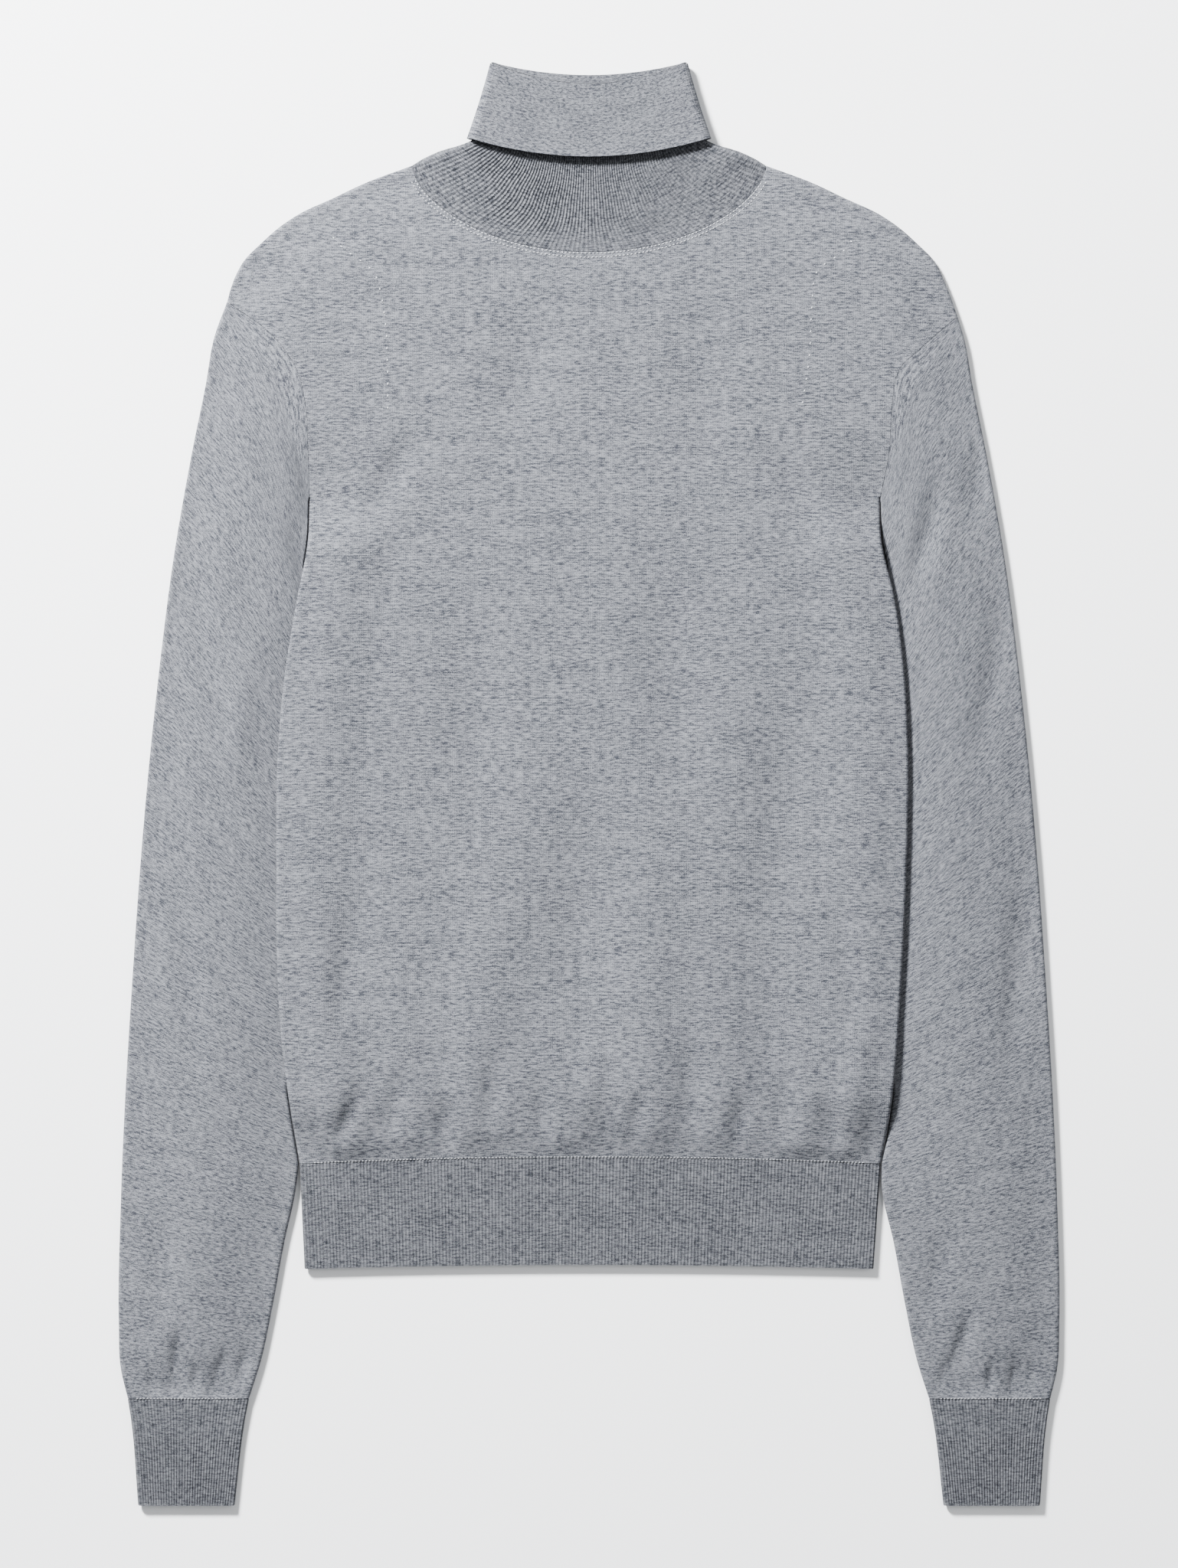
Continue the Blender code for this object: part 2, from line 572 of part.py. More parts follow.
def build_collar(material):
    first_outer, first_inner = neck_seam_rings()
    rings = [(first_outer + first_inner) / 2]
    for values in zip(*COLLAR.values()):
        rings.append(closed_ring(*collar_ring(*values, COLUMNS_HALF_NECK)))
    middle = np.stack(rings)
    around = np.roll(middle, -1, axis=1) - np.roll(middle, 1, axis=1)
    along = np.gradient(middle, axis=0)
    normal = np.cross(around, along)
    normal *= RIB / 2 / np.linalg.norm(normal, axis=2)[:, :, None]
    outwards = np.sign(normal[1, COLUMNS_HALF_NECK + 2, 2])
    outer, inner = middle + outwards * normal, middle - outwards * normal
    outer[0], inner[0] = first_outer, first_inner
    cloth_wall("collar", outer, inner, material, closed=True)


def main():
    for old in list(bpy.data.objects):
        bpy.data.objects.remove(old)
    jersey = knit_material("grey_jersey", (0.33, 0.345, 0.37), 0.85)
    rib = knit_material("grey_rib", (0.31, 0.325, 0.35), 0.88)
    build_body(jersey)
    build_waistband(rib)
    build_collar(rib)
    for side in ("right", "left"):
        build_sleeve(side, jersey)
        build_cuff(side, rib)


main()
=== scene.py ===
"""A fine-knit turtleneck sweater, laid flat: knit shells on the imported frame, in a plain studio.

The shells follow the frame's own pieces, on the same outlines and heights but with a fine grid, so that the
folds turn smoothly and the small creases fit. Tables and heights are in millimetres, and are turned into
metres once.
"""

import math

import bpy
import numpy as np
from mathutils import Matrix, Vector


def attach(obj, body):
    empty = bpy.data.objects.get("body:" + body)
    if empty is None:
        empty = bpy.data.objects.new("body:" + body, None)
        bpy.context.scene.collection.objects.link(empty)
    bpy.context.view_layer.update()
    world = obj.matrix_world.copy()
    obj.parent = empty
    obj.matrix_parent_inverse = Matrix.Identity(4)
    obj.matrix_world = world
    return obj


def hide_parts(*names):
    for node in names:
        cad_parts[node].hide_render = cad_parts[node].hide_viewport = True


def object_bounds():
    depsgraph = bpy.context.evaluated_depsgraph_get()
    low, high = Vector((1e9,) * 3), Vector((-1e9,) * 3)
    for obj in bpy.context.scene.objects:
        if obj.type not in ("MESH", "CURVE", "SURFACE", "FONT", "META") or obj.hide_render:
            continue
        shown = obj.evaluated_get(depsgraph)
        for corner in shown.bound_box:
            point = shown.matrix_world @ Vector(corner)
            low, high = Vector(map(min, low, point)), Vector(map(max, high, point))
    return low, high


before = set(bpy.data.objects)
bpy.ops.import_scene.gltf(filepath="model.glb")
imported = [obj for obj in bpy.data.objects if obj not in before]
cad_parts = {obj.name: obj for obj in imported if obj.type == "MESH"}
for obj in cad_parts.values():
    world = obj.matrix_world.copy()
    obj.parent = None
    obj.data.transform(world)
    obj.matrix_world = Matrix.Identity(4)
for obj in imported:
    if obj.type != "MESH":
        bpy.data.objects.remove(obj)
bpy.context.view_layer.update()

MM = 0.001

# Cloth
JERSEY = 1.4  # thickness of the plain knit of the body and sleeves
RIB = 1.8  # thickness of the double knit of the collar, waistband and cuffs
SEAM_GAP = 0.3  # between two pieces at their seam
FOLD = 4.6  # height of the flattened tube at a folded edge, two layers and the air between
FOLD_RADIUS = FOLD / 2
PUFF = 4.0  # how much higher the upper layer lies away from the folds
PUFF_REACH = 28.0  # how far from a fold the upper layer takes to come up
LIFT = 5.8  # how far the body's edges are raised by the sleeves under them
LIFT_FLAT, LIFT_END = 14.0, 58.0  # the raised strip's width, and where it has come down to the surface
TUCK = 10.0  # how far a sleeve reaches under the body
SLEEVE_CLEARANCE = 0.6  # between a sleeve and the body beside it, where it isn't under it

# Fold columns: the distances from an edge at which the quarter circle's points lie
FOLD_ANGLES = (0, 15, 30, 45, 60, 75, 90)
FOLD_STEPS = [FOLD_RADIUS * (1 - math.cos(math.radians(a))) for a in FOLD_ANGLES]

# The body's folded side edges, from the waistband's seam up to the underarm
SIDE = {  # columns: y, x of the wearer's right edge, x of the wearer's left edge
    "y": [-233, -205, -170, -125, -50, 20, 70, 115, 150, 175],
    "right": [-177.5, -182, -187, -190.5, -191.5, -190.5, -186, -178.5, -172, -171.5],
    "left": [179.0, 184, 188, 191.0, 194.5, 195.5, 193, 187, 179, 178.5],
}
# The seams between body and sleeve, from the underarm to the point of the shoulder
ARMHOLE = {
    "right": [(-171.5, 175), (-172, 205), (-173.5, 232), (-180, 256), (-193, 274), (-222, 296)],
    "left": [(178.5, 175), (184, 205), (185.5, 232), (190, 254), (203, 267), (226, 287)],
}
# The shoulder line from its point to the collar; it is the same on both sides, apart from its first point
SHOULDER = [
    (219.5, 305), (211, 322), (202, 331), (191.5, 340.5),
    (177.5, 350), (158, 359), (138, 368.5), (108.5, 379.5),
]
NECK_HALF_WIDTH, NECK_Y = SHOULDER[-1]
NECK_DROP_FRONT, NECK_DROP_BACK = 53.5, 5.0
NECK_ROUNDNESS = 0.6  # exponent of the neckline's curve

# The waistband
HEM_SEAM_RISE = 4.0  # how much higher the seam lies at the middle than at its ends
BAND_BOTTOM_Y = -297.5
BAND_BOTTOM_HALF_WIDTH = 174.5
BAND_BOTTOM_RISE = 2.5

# The sleeve, for the wearer's left; the right one is its mirror image except where it meets the body
SLEEVE_OUTER = {
    "y": [274, 246, 204, 138, 72, 6, -59, -125, -191, -261, -331, -358, -377],
    "x": [230, 235, 243.5, 255, 263.5, 270.5, 276, 280.5, 284.5, 287.4, 288.5, 287.4, 283.0],
}
SLEEVE_INNER_LOWER = {"y": [-247, -282, -320, -355, -377], "x": [179.6, 187, 194, 201.5, 208.5]}
STATIONS_BELOW_BODY = np.linspace(-236, -377, 42)  # y of the sleeve's last rows at its inner edge
CUFF_SEAM_Y = -377.0
CUFF = {"y": [-377.0, -390.0, -442.7], "outer": [283.0, 281.0, 276.6], "inner": [208.5, 211.0, 217.4]}

# The collar's rib tube: the middle of its wall, from the neck seam up, over the fold and down to the free edge
COLLAR = {
    "half_width": [92.0, 77.0, 67.0, 61.0, 58.5, 57.8, 58.1, 59.0, 59.8, 60.1, 63.0, 67.5, 71.5, 74.1],
    "side_y": [
        387.0, 391.5, 397.0, 406.0, 422.0, 440.6, 441.4,
        441.8, 441.4, 440.6, 430.0, 415.0, 403.0, 395.5,
    ],
    "front_drop": [45.5, 35.0, 29.0, 24.0, 20.0, 13.0, 13.0, 13.0, 13.0, 13.0, 13.0, 12.0, 11.5, 11.5],
    "back_drop": [5.0, 5.0, 5.0, 5.5, 6.5, 7.5, 7.5, 7.5, 7.5, 7.5, 7.0, 6.5, 6.0, 6.0],
    "front_z": [7.3, 6.8, 6.4, 6.0, 6.0, 6.0, 6.3, 7.15, 8.0, 8.3, 8.6, 9.1, 10.0, 11.0],
    "back_z": [1.4, 3.1, 3.2, 3.2, 3.2, 3.2, 2.9, 2.05, 1.2, 0.9, 0.9, 0.9, 0.9, 0.9],
}

# The upper layer's largest folds: they start at a band's or a cuff's seam, run up from it and fade
BODY_FOLDS = {  # columns: x at the seam, lean of the fold in x over its length, length, half width, height
    "x": [-150, -112, -66, -18, 34, 84, 128, 160],
    "lean": [-16, -10, 6, -4, 8, -6, 14, 12],
    "length": [150, 230, 300, 240, 330, 260, 170, 120],
    "half_width": [17, 19, 22, 20, 24, 20, 18, 14],
    "height": [2.4, 1.8, 2.6, 2.0, 2.8, 2.2, 2.4, 2.0],
}
SLEEVE_FOLDS = {  # a height below nought is a trough
    "right": {
        "x": [-253, -224],
        "lean": [4, -3],
        "length": [60, 45],
        "half_width": [9, 8],
        "height": [-2.2, -1.6],
    },
    "left": {
        "x": [233, 263],
        "lean": [-9, 2],
        "length": [68, 45],
        "half_width": [9, 8],
        "height": [-2.4, -1.6],
    },
}
DEEPEST_FOLD = 1.2  # how far a trough may bring the upper layer down below its height at a folded edge


# ---- curves ------------------------------------------------------------------------------------------------


def smooth_value(at, xs, ys):
    """ys over xs as a smooth curve through the table's points, read at the values at."""
    order = np.argsort(xs)
    xs, ys = np.asarray(xs, float)[order], np.asarray(ys, float)[order]
    slope = np.gradient(ys, xs)
    at = np.clip(np.asarray(at, float), xs[0], xs[-1])
    i = np.clip(np.searchsorted(xs, at) - 1, 0, len(xs) - 2)
    h = xs[i + 1] - xs[i]
    t = (at - xs[i]) / h
    return (
        (2 * t**3 - 3 * t**2 + 1) * ys[i]
        + (t**3 - 2 * t**2 + t) * h * slope[i]
        + (3 * t**2 - 2 * t**3) * ys[i + 1]
        + (t**3 - t**2) * h * slope[i + 1]
    )


def smooth_path(points, per_span=8):
    """A smooth line through the points, close enough together to be read by its length."""
    points = np.asarray(points, float)
    along = length_along(points)
    at = np.concatenate(
        [np.linspace(a, b, per_span, endpoint=False) for a, b in zip(along, along[1:])] + [along[-1:]]
    )
    return np.stack([smooth_value(at, along, points[:, k]) for k in range(2)], axis=1)


def length_along(points):
    return np.concatenate([[0], np.cumsum(np.linalg.norm(np.diff(points, axis=0), axis=1))])


def on_path(path, distances):
    """Points of the path at these distances from its start."""
    along = length_along(path)
    return np.stack([np.interp(distances, along, path[:, k]) for k in range(2)], axis=1)


def with_fold_steps(length, middle):
    """Distances from 0 to length: the fold's steps at both ends, and that many equal spans between them."""
    first, last = FOLD_STEPS[-1], length - FOLD_STEPS[-1]
    between = np.linspace(first, last, middle + 1)[1:-1]
    return np.concatenate([FOLD_STEPS, between, [length - step for step in reversed(FOLD_STEPS)]])


def nearest_edge(points, edges, inside):
    """How far each point is from the nearest of these lines, and the flat direction from it into the piece."""
    best = np.full(len(points), np.inf)
    away = np.zeros((len(points), 2))
    for line in edges:
        for a, b in zip(line, line[1:]):
            d = b - a
            t = np.clip((points - a) @ d / (d @ d), 0, 1)
            offset = points - a - t[:, None] * d
            far = np.linalg.norm(offset, axis=1)
            normal = np.array([-d[1], d[0]]) / np.linalg.norm(d)
            side = np.sign((inside - a) @ normal)
            direction = np.where(far[:, None] > 1e-6, offset / np.maximum(far, 1e-9)[:, None], side * normal)
            closer = far < best
            best[closer], away[closer] = far[closer], direction[closer]
    return best, away


def ease(t):
    t = np.clip(t, 0, 1)
    return t * t * (3 - 2 * t)


# ---- the body's flat outline -------------------------------------------------------------------------------


def neckline(drop, left_to_right_steps=60):
    """The neck seam from the wearer's right to the left, hanging by drop at its middle."""
    angle = np.linspace(math.pi, 0, left_to_right_steps + 1)
    s = np.cos(angle)
    y = NECK_Y - drop * np.maximum(1 - s * s, 0) ** NECK_ROUNDNESS
    return np.stack([NECK_HALF_WIDTH * s, y], axis=1)


def side_path(side):
    """One side's folded edge and then its armhole seam, from the waistband up; and the folded part's length."""
    y = np.linspace(SIDE["y"][0], SIDE["y"][-1], 60)
    folded = np.stack([smooth_value(y, SIDE["y"], SIDE[side]), y], axis=1)
    seam = smooth_path(ARMHOLE[side])
    return np.concatenate([folded, seam[1:]]), length_along(folded)[-1]


def shoulder_path(side):
    sign = 1 if side == "left" else -1
    return smooth_path([ARMHOLE[side][-1]] + [(sign * x, y) for x, y in SHOULDER])


FINE = 2
ROWS_BELOW_ARM = 58 * FINE
ROWS_BESIDE_ARM = 20 * FINE
COLUMNS_SHOULDER = 18 * FINE
COLUMNS_HALF_NECK = 16 * FINE
COLLAR_COLUMNS = 172
SLEEVE_COLUMNS = 40 * FINE
BOWED_SHARE = 0.28  # how much of the sleeve still follows the armhole's curve
BODY_CENTRE = np.array([0.0, 60.0])
NECK_COLUMNS = slice(len(FOLD_STEPS) + COLUMNS_SHOULDER - 1, 1 - len(FOLD_STEPS) - COLUMNS_SHOULDER)


def side_distances(side):
    """The grid's rows along one side: from the waistband to the underarm, and from there to the shoulder."""
    path, folded = side_path(side)
    seam = length_along(path)[-1] - folded
    return np.concatenate(
        [np.linspace(0, folded, ROWS_BELOW_ARM + 1)[:-1], folded + with_fold_steps(seam, ROWS_BESIDE_ARM)]
    )


def top_points(drop):
    """The grid's columns along the top: the right shoulder, the neckline and the left shoulder."""
    shoulders = {}
    for side in ("right", "left"):
        path = shoulder_path(side)
        far = length_along(path)[-1]
        steps = np.concatenate([FOLD_STEPS, np.linspace(FOLD_STEPS[-1], far, COLUMNS_SHOULDER + 1)[1:]])
        shoulders[side] = on_path(path, steps)
    neck = neckline(drop)
    middle = on_path(neck, np.linspace(0, length_along(neck)[-1], 2 * COLUMNS_HALF_NECK + 1))
    return np.concatenate([shoulders["right"], middle[1:-1], shoulders["left"][::-1]])


def hem_points():
    """The waistband's seam, with the columns spread as they are along the front's top edge."""
    top = top_points(NECK_DROP_FRONT)
    ends = [SIDE["right"][0], SIDE["left"][0]]
    along = length_along(top)
    inner = slice(len(FOLD_STEPS), len(top) - len(FOLD_STEPS))
    share = (along[inner] - FOLD_STEPS[-1]) / (along[-1] - 2 * FOLD_STEPS[-1])
    even = np.linspace(0, 1, len(share) + 2)[1:-1]
    share = 0.35 * share + 0.65 * even
    x = np.concatenate(
        [
            [ends[0] + step for step in FOLD_STEPS],
            ends[0] + FOLD_STEPS[-1] + share * (ends[1] - ends[0] - 2 * FOLD_STEPS[-1]),
            [ends[1] - step for step in reversed(FOLD_STEPS)],
        ]
    )
    s = (2 * x - ends[0] - ends[1]) / (ends[1] - ends[0])
    return np.stack([x, SIDE["y"][0] + HEM_SEAM_RISE * (1 - s * s)], axis=1)


def body_grid(drop):
    """The flat outline of the front or back as a grid of points, rows from the waistband up."""
    bottom, top = hem_points(), top_points(drop)
    sides = {}
    for side in ("right", "left"):
        path, _ = side_path(side)
        sides[side] = on_path(path, side_distances(side))
    right, left = sides["right"], sides["left"]
    rows = side_distances("right") / side_distances("right")[-1]
    t = rows[:, None, None]
    s = np.linspace(0, 1, len(bottom))
    from_side = length_along(bottom)
    s = (from_side / from_side[-1])[:, None]
    grid = (1 - t) * bottom[None] + t * top[None] + (1 - s) * right[:, None] + s * left[:, None]
    grid -= (1 - t) * (1 - s) * bottom[0] + (1 - t) * s * bottom[-1] + t * (1 - s) * top[0] + t * s * top[-1]
    # the fold's columns, and those next to them, keep their distance from the side up to the underarm
    from_left = from_side[-1] - from_side
    level = np.where(
        (from_side <= from_left)[None, :, None],
        right[:, None] + np.stack([from_side, 0 * from_side], axis=1)[None],
        left[:, None] - np.stack([from_left, 0 * from_left], axis=1)[None],
    )
    up_seam = side_distances("right") - side_path("right")[1]
    weight = (
        (1 - ease(up_seam / 40))[:, None]
        * (1 - ease((np.minimum(from_side, from_left) - FOLD_STEPS[-1]) / 40))[None]
    )
    weight[0] = weight[-1] = 0
    grid += weight[:, :, None] * (level - grid)
    depth = np.array([length_along(right)[-1] - d for d in length_along(right)])[:, None, None]
    across = length_along(top)
    inside = ease((np.minimum(across, across[-1] - across) - FOLD_STEPS[-1]) / 30)[None, :, None]
    lean, down = into_body(top).T
    straight = top[None] + np.stack(
        [np.minimum(depth[:, :, 0], FOLD_STEPS[-1]) * lean, depth[:, :, 0] * down], axis=2
    )
    weight = inside * (1 - ease((depth - FOLD_STEPS[-1]) / 60))
    grid = grid * (1 - weight) + straight * weight
    return untangled(grid)


def crossed(grid):
    """Which of the grid's cells are turned inside out."""
    a, b, c, d = grid[:-1, :-1], grid[:-1, 1:], grid[1:, 1:], grid[1:, :-1]
    first, second = c - a, d - b
    return first[..., 0] * second[..., 1] - first[..., 1] * second[..., 0] <= 0


def untangled(grid):
    """The grid, with points round its crossed cells drawn to their neighbours' middle until none is crossed."""
    for _ in range(300):
        bad = crossed(grid)
        if not bad.any():
            break
        near = np.zeros(grid.shape[:2], bool)
        for r, c in np.argwhere(bad):
            near[max(r - 3, 1) : r + 5, max(c - 3, 1) : c + 5] = True
        near[0] = near[-1] = False
        near[:, 0] = near[:, -1] = False
        middle = grid.copy()
        middle[1:-1, 1:-1] = (grid[:-2, 1:-1] + grid[2:, 1:-1] + grid[1:-1, :-2] + grid[1:-1, 2:]) / 4
        grid = np.where(near[:, :, None], middle, grid)
    return grid


def into_body(top):
    """The way from the top edge into the body: as far down as makes it 1 from a shoulder, off the neckline."""
    along = np.gradient(top, axis=0)
    down = np.linalg.norm(along, axis=1) / np.abs(along[:, 0])
    lean = np.zeros(len(top))
    down[NECK_COLUMNS] = 1
    lean[NECK_COLUMNS] = 0.5 * np.sign(top[NECK_COLUMNS, 0]) * (top[NECK_COLUMNS, 0] / NECK_HALF_WIDTH) ** 4
    return np.stack([lean, -down], axis=1)


def set_back(line, towards):
    """The seam's points, moved half the seam's gap square to it, to the side where the point towards lies."""
    along = np.gradient(line, axis=0)
    square = np.stack([-along[:, 1], along[:, 0]], axis=1)
    square /= np.linalg.norm(square, axis=1)[:, None]
    middle = len(line) // 2
    side = np.sign((np.asarray(towards) - line[middle]) @ square[middle])
    return line + side * square * SEAM_GAP / 2


def clear_of_seams(grid):
    """The body's grid set back from the waistband, the collar and the sleeves; its folded edges stay."""
    moved = grid.copy()
    moved[0] = set_back(grid[0], BODY_CENTRE)
    moved[-1, NECK_COLUMNS] = set_back(grid[-1, NECK_COLUMNS], BODY_CENTRE)
    for column in (0, -1):
        moved[ROWS_BELOW_ARM:, column] = set_back(grid[ROWS_BELOW_ARM:, column], BODY_CENTRE)
    return moved


# ---- heights -----------------------------------------------------------------------------------------------


def body_edges():
    """The folded edges of the body: its two sides below the underarms and its two shoulder lines."""
    edges = []
    for side in ("right", "left"):
        path, folded = side_path(side)
        edges.append(path[length_along(path) <= folded + 1e-6])
        edges.append(shoulder_path(side))
    return edges


def lifted(points):
    """How far the body is raised at these points by the sleeves under its edges."""
    x, y = points[:, 0], points[:, 1]
    right = x - smooth_value(y, SIDE["y"], SIDE["right"])
    left = smooth_value(y, SIDE["y"], SIDE["left"]) - x
    inwards = 1 - ease((np.minimum(right, left) - LIFT_FLAT) / (LIFT_END - LIFT_FLAT))
    upwards = ease((175 - y) / 33) * ease((y + 231) / 42)
    return LIFT * inwards * upwards


def folds(points, table, seam_y):
    """The height that the largest folds above this seam add to the upper layer."""
    x, y = points[:, 0], points[:, 1]
    height = np.zeros(len(points))
    for x0, lean, length, half_width, high in zip(*table.values()):
        up = (y - seam_y) / length
        across = (x - x0 - lean * up) / half_width
        fade = ease(up / 0.08) * (1 - ease((up - 0.15) / 0.85))
        height += high * np.exp(-across * across) * fade
    return height


def puffed(distance, pressed):
    """The height of the upper layer above a folded edge; pressed is 1 where a band or cuff holds it down."""
    return PUFF * (1 - np.exp(-((distance / PUFF_REACH) ** 2))) * (1 - 0.8 * pressed)


def fold_height(distance):
    """Sine and cosine of the quarter circle at this distance from a folded edge."""
    cosine = np.clip(1 - distance / FOLD_RADIUS, 0, 1)
    return np.sqrt(1 - cosine * cosine), cosine


def layer(flat, distance, away, extra, base, upper, thickness):
    """Outer and inner points of one layer over the flat points, which lie at this distance from a folded edge.

    away is the flat direction from that edge, base the height of what is underneath, and extra how much
    higher than at its folded edge an upper layer lies.
    """
    sine, cosine = fold_height(distance)
    rise = np.maximum(FOLD_RADIUS * sine, SEAM_GAP / 2)  # layers that meet at a folded edge stop short of it
    turn = 1 if upper else -1
    height = base + FOLD_RADIUS + turn * rise + (extra if upper else 0)
    outer = np.column_stack([flat, height])
    inner = outer + thickness * np.column_stack([away * cosine[:, None], -turn * sine])
    return outer, inner



# Small creases of the upper layer, besides the largest folds: x, y of their middle, the way they run in degrees
# from +Y, half length, half width and height; a height below nought is a trough
CREASES = {
    "front": {
        "x": [
            -148, -118, -88, -60, -28, 0, 30, 62, 92, 120, 148,
            -70, -10, 52, 118, -150, 158, -120, 126, -40, 70,
        ],
        "y": [
            -205, -196, -208, -190, -200, -186, -204, -188, -206, -196, -207,
            20, -90, 60, -20, -120, -110, 190, 180, 250, 240,
        ],
        "turn": [-24, -10, 6, -4, 8, -2, -8, 5, -6, 12, 22, 3, -4, 5, -5, -7, 8, -28, 30, -12, 14],
        "half_length": [
            26, 32, 22, 40, 30, 44, 24, 40, 24, 30, 24,
            130, 110, 120, 120, 70, 66, 46, 46, 60, 60,
        ],
        "half_width": [5, 7, 6, 8, 6, 9, 6, 8, 6, 7, 5, 20, 22, 20, 20, 9, 9, 9, 9, 16, 16],
        "height": [
            -1.7, -1.3, -1.4, -1.5, -1.3, 1.3, -1.5, -1.4, -1.5, -1.3, -1.6,
            -1.8, -2.0, -1.9, -1.8, -1.2, -1.2, -1.2, -1.2, -1.1, -1.1,
        ],
    },
    "sleeve_right": {
        "x": [-252, -268, -242, -226, -212, -262, -246, -236, -214],
        "y": [-353, -368, -366, -360, -356, -300, -120, 90, 40],
        "turn": [5, 12, -4, -10, -16, 2, 5, 12, -4],
        "half_length": [24, 12, 14, 16, 18, 50, 90, 70, 60],
        "half_width": [3.6, 3.0, 3.0, 3.4, 3.4, 8, 9, 9, 8],
        "height": [-1.9, -1.0, -1.1, -1.2, -1.0, -1.0, -1.2, -1.2, 0.8],
    },
    "sleeve_left": {
        "x": [228, 246, 262, 272, 218, 214, 262, 246, 206, 240],
        "y": [-348, -364, -366, -362, -362, -300, -120, 60, 150, 190],
        "turn": [-12, -4, 6, 10, -16, -5, -4, -8, -14, -18],
        "half_length": [30, 14, 14, 12, 14, 40, 90, 80, 50, 46],
        "half_width": [4.0, 3.2, 3.4, 3.0, 3.2, 8, 9, 9, 7, 9],
        "height": [-2.2, -1.1, -1.3, -0.9, -1.0, -1.0, -1.2, -1.1, -1.6, -1.0],
    },
}


CREASE_DEPTH = 1.9  # how much deeper the small creases are than the table's heights
RIDGE_DEPTH = 1.5  # and the body's largest folds


def creases(points, name):
    """The height that a piece's small creases add to its upper layer."""
    height = np.zeros(len(points))
    for x, y, turn, half_length, half_width, high in zip(*CREASES[name].values()):
        angle = math.radians(turn)
        dx, dy = points[:, 0] - x, points[:, 1] - y
        along = (dx * -math.sin(angle) + dy * math.cos(angle)) / half_length
        across = (dx * math.cos(angle) + dy * math.sin(angle)) / half_width
        height += CREASE_DEPTH * high * np.exp(-across * across) * (1 - ease(np.abs(along)))
    return height


# ---- shells ------------------------------------------------------------------------------------------------


def grid_uv(outer, closed):
    """Each corner's place in the knit, in metres: across the wales, and along them."""
    ring = np.concatenate([outer, outer[:, :1]], axis=1) if closed else outer
    across = np.linalg.norm(np.diff(ring, axis=1), axis=2)
    widest = across[np.argmax(across.sum(axis=1))]
    u = np.concatenate([[0], np.cumsum(widest)])
    up = np.linalg.norm(np.diff(outer, axis=0), axis=2).mean(axis=1)
    v = np.concatenate([[0], np.cumsum(up)])
    return u * MM, v * MM


def cloth_wall(name, outer, inner, material, closed, wave=None):
    """One closed shell between an outer and an inner grid. closed joins the last column to the first."""
    rows, columns = outer.shape[:2]
    count = rows * columns
    spans = columns if closed else columns - 1
    points = np.concatenate([outer.reshape(-1, 3), inner.reshape(-1, 3)]) * MM
    r, c = np.meshgrid(np.arange(rows - 1), np.arange(spans), indexing="ij")
    r, c = r.reshape(-1), c.reshape(-1)
    at = lambda r, c: r * columns + c % columns
    quad = np.stack([at(r, c), at(r, c + 1), at(r + 1, c + 1), at(r + 1, c)], axis=1)
    places = np.stack(
        [
            np.stack([r, c], 1),
            np.stack([r, c + 1], 1),
            np.stack([r + 1, c + 1], 1),
            np.stack([r + 1, c], 1),
        ],
        1,
    )
    faces = [quad, quad[:, ::-1] + count]
    uv_at = [places, places[:, ::-1]]
    line = np.arange(spans)
    for row, turn in ((0, 1), (rows - 1, -1)):
        a, b = at(row, line), at(row, line + 1)
        rim = np.stack([a, a + count, b + count, b], axis=1)
        place = np.stack([np.full(spans, row), line], 1)
        after = np.stack([np.full(spans, row), line + 1], 1)
        faces.append(rim[:, ::turn])
        uv_at.append(np.stack([place, place, after, after], 1)[:, ::turn])
    if not closed:
        down = np.arange(rows - 1)
        for column, turn in ((0, -1), (columns - 1, 1)):
            a, b = down * columns + column, (down + 1) * columns + column
            rim = np.stack([a, a + count, b + count, b], axis=1)
            place = np.stack([down, np.full(rows - 1, column)], 1)
            after = np.stack([down + 1, np.full(rows - 1, column)], 1)
            faces.append(rim[:, ::turn])
            uv_at.append(np.stack([place, place, after, after], 1)[:, ::turn])
    faces, uv_at = np.concatenate(faces), np.concatenate(uv_at)
    corners = points[faces]
    volume = np.einsum("ij,ij->i", corners[:, 0], np.cross(corners[:, 1], corners[:, 2])).sum()
    volume += np.einsum("ij,ij->i", corners[:, 0], np.cross(corners[:, 2], corners[:, 3])).sum()
    if volume < 0:
        faces, uv_at = faces[:, ::-1], uv_at[:, ::-1]
    mesh = bpy.data.meshes.new(name)
    mesh.from_pydata(points.tolist(), [], faces.tolist())
    u, v = grid_uv(outer, closed)
    layer_uv = mesh.uv_layers.new(name="knit")
    flat = uv_at.reshape(-1, 2)
    if closed:
        layer_uv.data.foreach_set("uv", np.stack([u[flat[:, 1]], v[flat[:, 0]]], axis=1).reshape(-1))
    else:
        layer_uv.data.foreach_set("uv", points[faces.reshape(-1), :2].reshape(-1))
    # rib_height is the ribs' wave, 1 on top of a rib; the material paints shade in the grooves from it
    high = np.ones(rows * columns * 2)
    if wave is not None:
        high[:count] = np.tile(wave, rows)
    mesh.attributes.new("rib_height", "FLOAT", "POINT").data.foreach_set("value", high)
    mesh.materials.append(material)
    mesh.update()
    mesh.shade_smooth()
    mesh.set_sharp_from_angle(angle=math.radians(60))
    piece = bpy.data.objects.new(name + "_knit", mesh)
    bpy.context.scene.collection.objects.link(piece)
    SHELLS[name] = piece
    OUTER[name] = outer
    return piece


SHELLS, OUTER = {}, {}

# ---- pieces ------------------------------------------------------------------------------------------------


